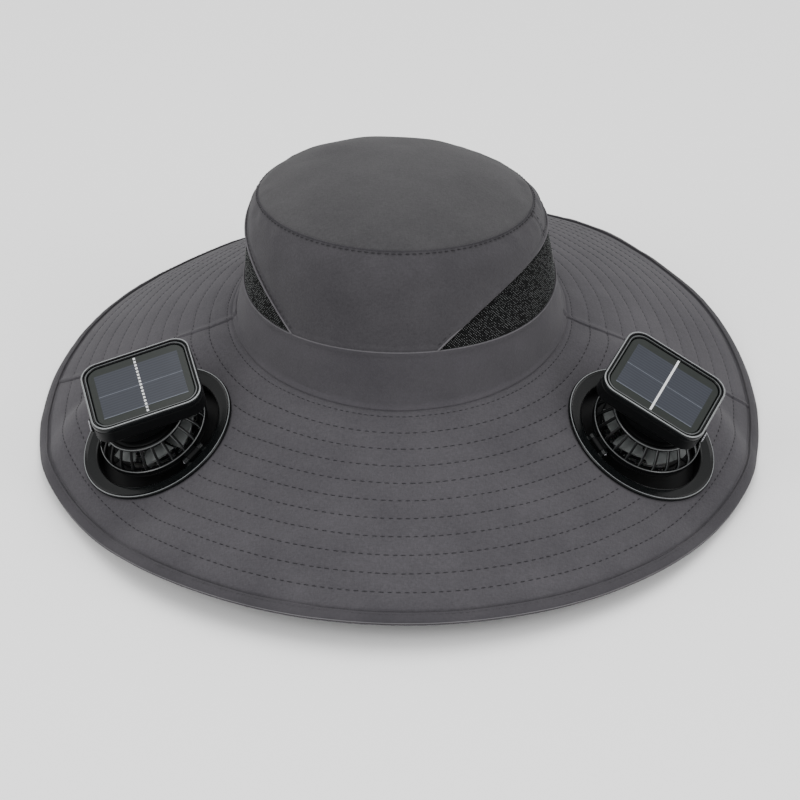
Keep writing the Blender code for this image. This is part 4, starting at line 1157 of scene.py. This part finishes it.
def blade(angle, low, high, thickness):
    """Curved, pitched blade: chordwise loops from the hub to the tip."""
    loops = []
    for share in np.linspace(0.0, 1.0, 7):
        radius = 0.85 * HUB_RADIUS + share * (ROTOR_RADIUS - 0.85 * HUB_RADIUS)
        chord = 0.31 + 0.09 * share - 0.10 * max(share - 0.8, 0.0)
        upper, lower = [], []
        for across in np.linspace(-1.0, 1.0, 7):
            lift = 0.5 + 0.5 * across + 0.16 * (1.0 - across * across)
            height = low + (high - low - thickness) * lift
            turn = angle + 0.30 * share + chord * across
            taper = thickness * (0.35 + 0.65 * math.sqrt(max(1.0 - across ** 4, 0.0)))
            place = (radius * math.cos(turn), radius * math.sin(turn))
            upper.append((*place, height + taper))
            lower.append((*place, height))
        loops.append(upper + lower[::-1])
    return skin(loops)


def make_rotor(fan, head):
    top = CAGE_TOP - CAGE_PLATE - 2.0 * GAP - MOTOR_HEIGHT
    base = top - HUB_HEIGHT
    bore = SHAFT_RADIUS + GAP
    profile = ((bore, base), (HUB_RADIUS - 0.0008, base), (HUB_RADIUS, base + 0.0008),
               (HUB_RADIUS, top - 0.0005), (HUB_RADIUS - 0.0005, top), (bore, top))
    parts = Parts(lathe(profile, 64))
    middle = 0.5 * (base + top)
    for index in range(ROTOR_BLADES):
        parts.add(*blade(TURN * index / ROTOR_BLADES, middle - 0.0029, middle + 0.0029, 0.0011))
    fan_piece(parts, fan, "rotor", "blades", ["rotor"], "rotor_plastic", head, "rotor")


def panel_lean(fan):
    """Tips a panel towards the crown about the foot of its housing's neck."""
    foot = Matrix.Translation((0.0, 0.0, CAGE_TOP + GAP))
    return foot @ Matrix.Rotation(-math.radians(fan.panel_lean_deg), 4, "Y") @ foot.inverted()


def make_housing(fan, neck):
    low = CAGE_TOP + GAP
    skirt = low + SKIRT_SHARE * HOUSING_HEIGHT
    neck_top = low + NECK_SHARE * HOUSING_HEIGHT
    loops = [
        rounded(NECK_LENGTH - 0.0008, NECK_WIDTH - 0.0008, NECK_CORNER, low, 0.0),
        rounded(NECK_LENGTH, NECK_WIDTH, NECK_CORNER, low + 0.0005, 0.0),
        rounded(NECK_LENGTH, NECK_WIDTH, NECK_CORNER, neck_top - 0.0012, 0.0),
    ]
    for share in np.linspace(0.0, 1.0, 9):
        grow = float(smoothstep(share)) ** 1.15
        length = NECK_LENGTH + grow * (0.95 * PANEL_LENGTH - NECK_LENGTH)
        width = NECK_WIDTH + grow * (0.95 * PANEL_WIDTH - NECK_WIDTH)
        corner = NECK_CORNER + grow * (PANEL_CORNER - NECK_CORNER)
        height = neck_top + share * (skirt - 0.0012 - neck_top)
        loops.append(rounded(length, width, corner, height, -PANEL_SHIFT * grow))
    loops.append(rounded(0.985 * PANEL_LENGTH, 0.985 * PANEL_WIDTH, PANEL_CORNER, skirt - 0.0005))
    rise = HOUSING_TOP - skirt - 0.0009
    for trim, tighter, height in (
            (0.0, 0.0, skirt), (0.0002, 0.0, skirt + 0.6 * rise), (0.0002, 0.0, skirt + rise),
            (0.0012, 0.0006, HOUSING_TOP - 0.0006), (0.0012, 0.0006, HOUSING_TOP)):
        loops.append(rounded(PANEL_LENGTH - trim, PANEL_WIDTH - trim, PANEL_CORNER - tighter, height))
    lean = panel_lean(fan)
    loops[2:] = [[lean @ Vector(point) for point in loop] for loop in loops[2:]]
    fan_piece(Parts(skin(loops)), fan, "housing", "shell", ["satin"], "black_gloss", neck)


def make_bezel(fan, panel):
    """Frame of two beads with a groove between them."""
    rows = (
        (0.00, 0.0), (0.00, 1.6), (0.10, 2.25), (0.35, 2.70), (0.70, 2.92), (1.05, 2.90), (1.35, 2.65),
        (1.52, 2.25), (1.60, 1.75), (2.05, 1.70), (2.15, 2.10), (2.32, 2.42), (2.60, 2.55), (2.90, 2.50),
        (3.15, 2.25), (3.30, 1.85), (3.40, 1.40), (3.40, 0.0),
    )
    loops = [
        rounded(PANEL_LENGTH - 2.0 * inset * MM, PANEL_WIDTH - 2.0 * inset * MM,
                PANEL_CORNER - 0.7 * inset * MM, PANEL_BASE + height * MM)
        for inset, height in rows
    ]
    parts = Parts()
    # The inner bead's crest is painted a dimmer highlight.
    # The outer bead's crest is painted pale as a highlight.
    parts.add(*skin(loops, ring=True), row_slots(len(rows), len(loops[0]), (3, 4), (11, 12)))
    fan_piece(parts, fan, "bezel", "frame", ["gloss", "trim", "dim_highlight"], "black_gloss", panel)


def strip(x, y, z):
    """Thin flat bar that spans three ranges."""
    return skin([[(x[0], y[0], height), (x[1], y[0], height), (x[1], y[1], height), (x[0], y[1], height)]
                 for height in z])


def make_solar(fan, panel):
    inset = BEZEL_WIDTH + GAP
    length = PANEL_LENGTH - 2.0 * inset
    width = PANEL_WIDTH - 2.0 * inset
    corner = PANEL_CORNER - 0.7 * inset
    top = PANEL_BASE + PANEL_THICKNESS
    parts = Parts(skin([
        rounded(length, width, corner, PANEL_BASE), rounded(length, width, corner, top - 0.0002),
        rounded(length - 0.0004, width - 0.0004, corner - 0.0002, top),
    ]))
    shift = -PANEL_SHIFT
    foot = top - 0.0001
    for side in (-1.0, 1.0):
        ends = sorted((shift + side * BUSBAR_HALF, shift + side * 0.5 * CELL_LENGTH))
        parts.add(*strip(ends, (-0.5 * CELL_WIDTH, 0.5 * CELL_WIDTH), (foot, top + 0.00006)), 1)
    half = 0.5 * width - 0.0003
    if fan.dotted:
        pitch = 2.0 * half / BUSBAR_DOTS
        for index in range(BUSBAR_DOTS):
            middle = -half + (index + 0.5) * pitch
            low = (shift - 1.05 * BUSBAR_HALF, middle - 0.30 * pitch, foot)
            high = (shift + 1.05 * BUSBAR_HALF, middle + 0.30 * pitch, top + 0.00026)
            parts.add(*soft_box(low, high, 0.0001), 2)
    else:
        parts.add(*strip((shift - BUSBAR_HALF, shift + BUSBAR_HALF), (-half, half), (foot, top + 0.00020)), 2)
    for place, thin in ((0.0, 0.00016), (fan.switch_side * 0.5 * CELL_WIDTH, 0.00020)):
        ends = (shift - 0.5 * CELL_LENGTH, shift + 0.5 * CELL_LENGTH)
        parts.add(*strip(ends, (place - thin, place + thin), (top, top + 0.00012)), 3)
    materials = ["margin", "cell", "busbar", "finger"]
    fan_piece(parts, fan, "solar_panel", "cells", materials, "solar_glass", panel)


def make_switch(fan, panel):
    """Sliding switch with grip ridges, on the housing's outer short side."""
    start = 0.5 * PANEL_LENGTH + GAP - PANEL_SHIFT
    middle = fan.switch_side * SWITCH_OFFSET
    top = HOUSING_TOP - 0.15 * HOUSING_HEIGHT
    low = (start - 0.0004, middle - 0.5 * SWITCH_LENGTH, top - SWITCH_HEIGHT)
    high = (start + 0.6 * SWITCH_DEPTH, middle + 0.5 * SWITCH_LENGTH, top)
    parts = Parts(soft_box(low, high, 0.0003))
    # Grip ridges, pale as painted glints.
    for index in range(4):
        place = middle + (index - 1.5) * 0.0017
        parts.add(*soft_box((start, place - 0.0004, top - SWITCH_HEIGHT + 0.0004),
                            (start + SWITCH_DEPTH, place + 0.0004, top - 0.0004), 0.0002), 1)
    fan_piece(parts, fan, "switch", "slider", ["satin", "steel_and_glint"], "black_matt", panel)


def make_fan(fan):
    seat = SEATS[fan.side]
    pin = hinge_frame(fan)
    head = seat @ pin @ Matrix.Rotation(math.radians(fan.open_deg), 4, "Y") @ pin.inverted()
    neck = head @ Matrix.Rotation(math.radians(fan.panel_turn_deg), 4, "Z")
    panel = neck @ panel_lean(fan)
    for make in (make_flange, make_clamp, make_pin):
        make(fan, seat)
    for make in (make_cage, make_grille, make_motor, make_rotor):
        make(fan, head)
    make_housing(fan, neck)
    for make in (make_bezel, make_solar, make_switch):
        make(fan, panel)


# Studio

def make_camera():
    forward = Vector((0.0, math.cos(CAMERA_DIP), -math.sin(CAMERA_DIP)))
    camera = bpy.data.objects.new("camera", bpy.data.cameras.new("camera"))
    camera.data.lens = CAMERA_LENS
    camera.data.sensor_width = 36.0
    camera.data.clip_end = 100.0
    camera.location = Vector(SEAM) + Vector((0.0, 0.0, -CAMERA_AIM_DROP)) - forward * CAMERA_DISTANCE
    camera.rotation_euler = forward.to_track_quat("-Z", "Y").to_euler()
    bpy.context.scene.collection.objects.link(camera)
    bpy.context.scene.camera = camera


def make_studio():
    for name, place, size, power in LIGHTS:
        data = bpy.data.lights.new(name, "AREA")
        data.size = size
        data.energy = power
        lamp = bpy.data.objects.new(name, data)
        lamp.location = place
        lamp.rotation_euler = (Vector(LIGHT_AIM) - Vector(place)).to_track_quat("-Z", "Y").to_euler()
        bpy.context.scene.collection.objects.link(lamp)
    world = bpy.data.worlds.new("studio")
    world.use_nodes = True
    backdrop = world.node_tree.nodes["Background"]
    backdrop.inputs["Color"].default_value = (1.0, 1.0, 1.0, 1.0)
    backdrop.inputs["Strength"].default_value = 1.10
    bpy.context.scene.world = world
    pale = Shading("pale_floor")
    pale.feed(pale.shader, {"Base Color": (0.90, 0.90, 0.90, 1.0), "Roughness": 0.9})
    mesh = bpy.data.meshes.new("floor")
    half = FLOOR_HALF
    mesh.from_pydata([(-half, -half, 0.0), (half, -half, 0.0), (half, half, 0.0), (-half, half, 0.0)], [],
                     [(0, 1, 2, 3)])
    mesh.materials.append(pale.material)
    floor = bpy.data.objects.new("floor", mesh)
    bpy.context.scene.collection.objects.link(floor)


MATERIALS = make_materials()
make_camera()
make_studio()
make_brim()
make_binding()
make_crown()
make_tip()
make_band()
for vent_side, vent_middle in VENT_AZIMUTHS.items():
    make_vent(vent_side, vent_middle)
for unit_fan in FANS:
    make_fan(unit_fan)

bpy.context.view_layer.update()
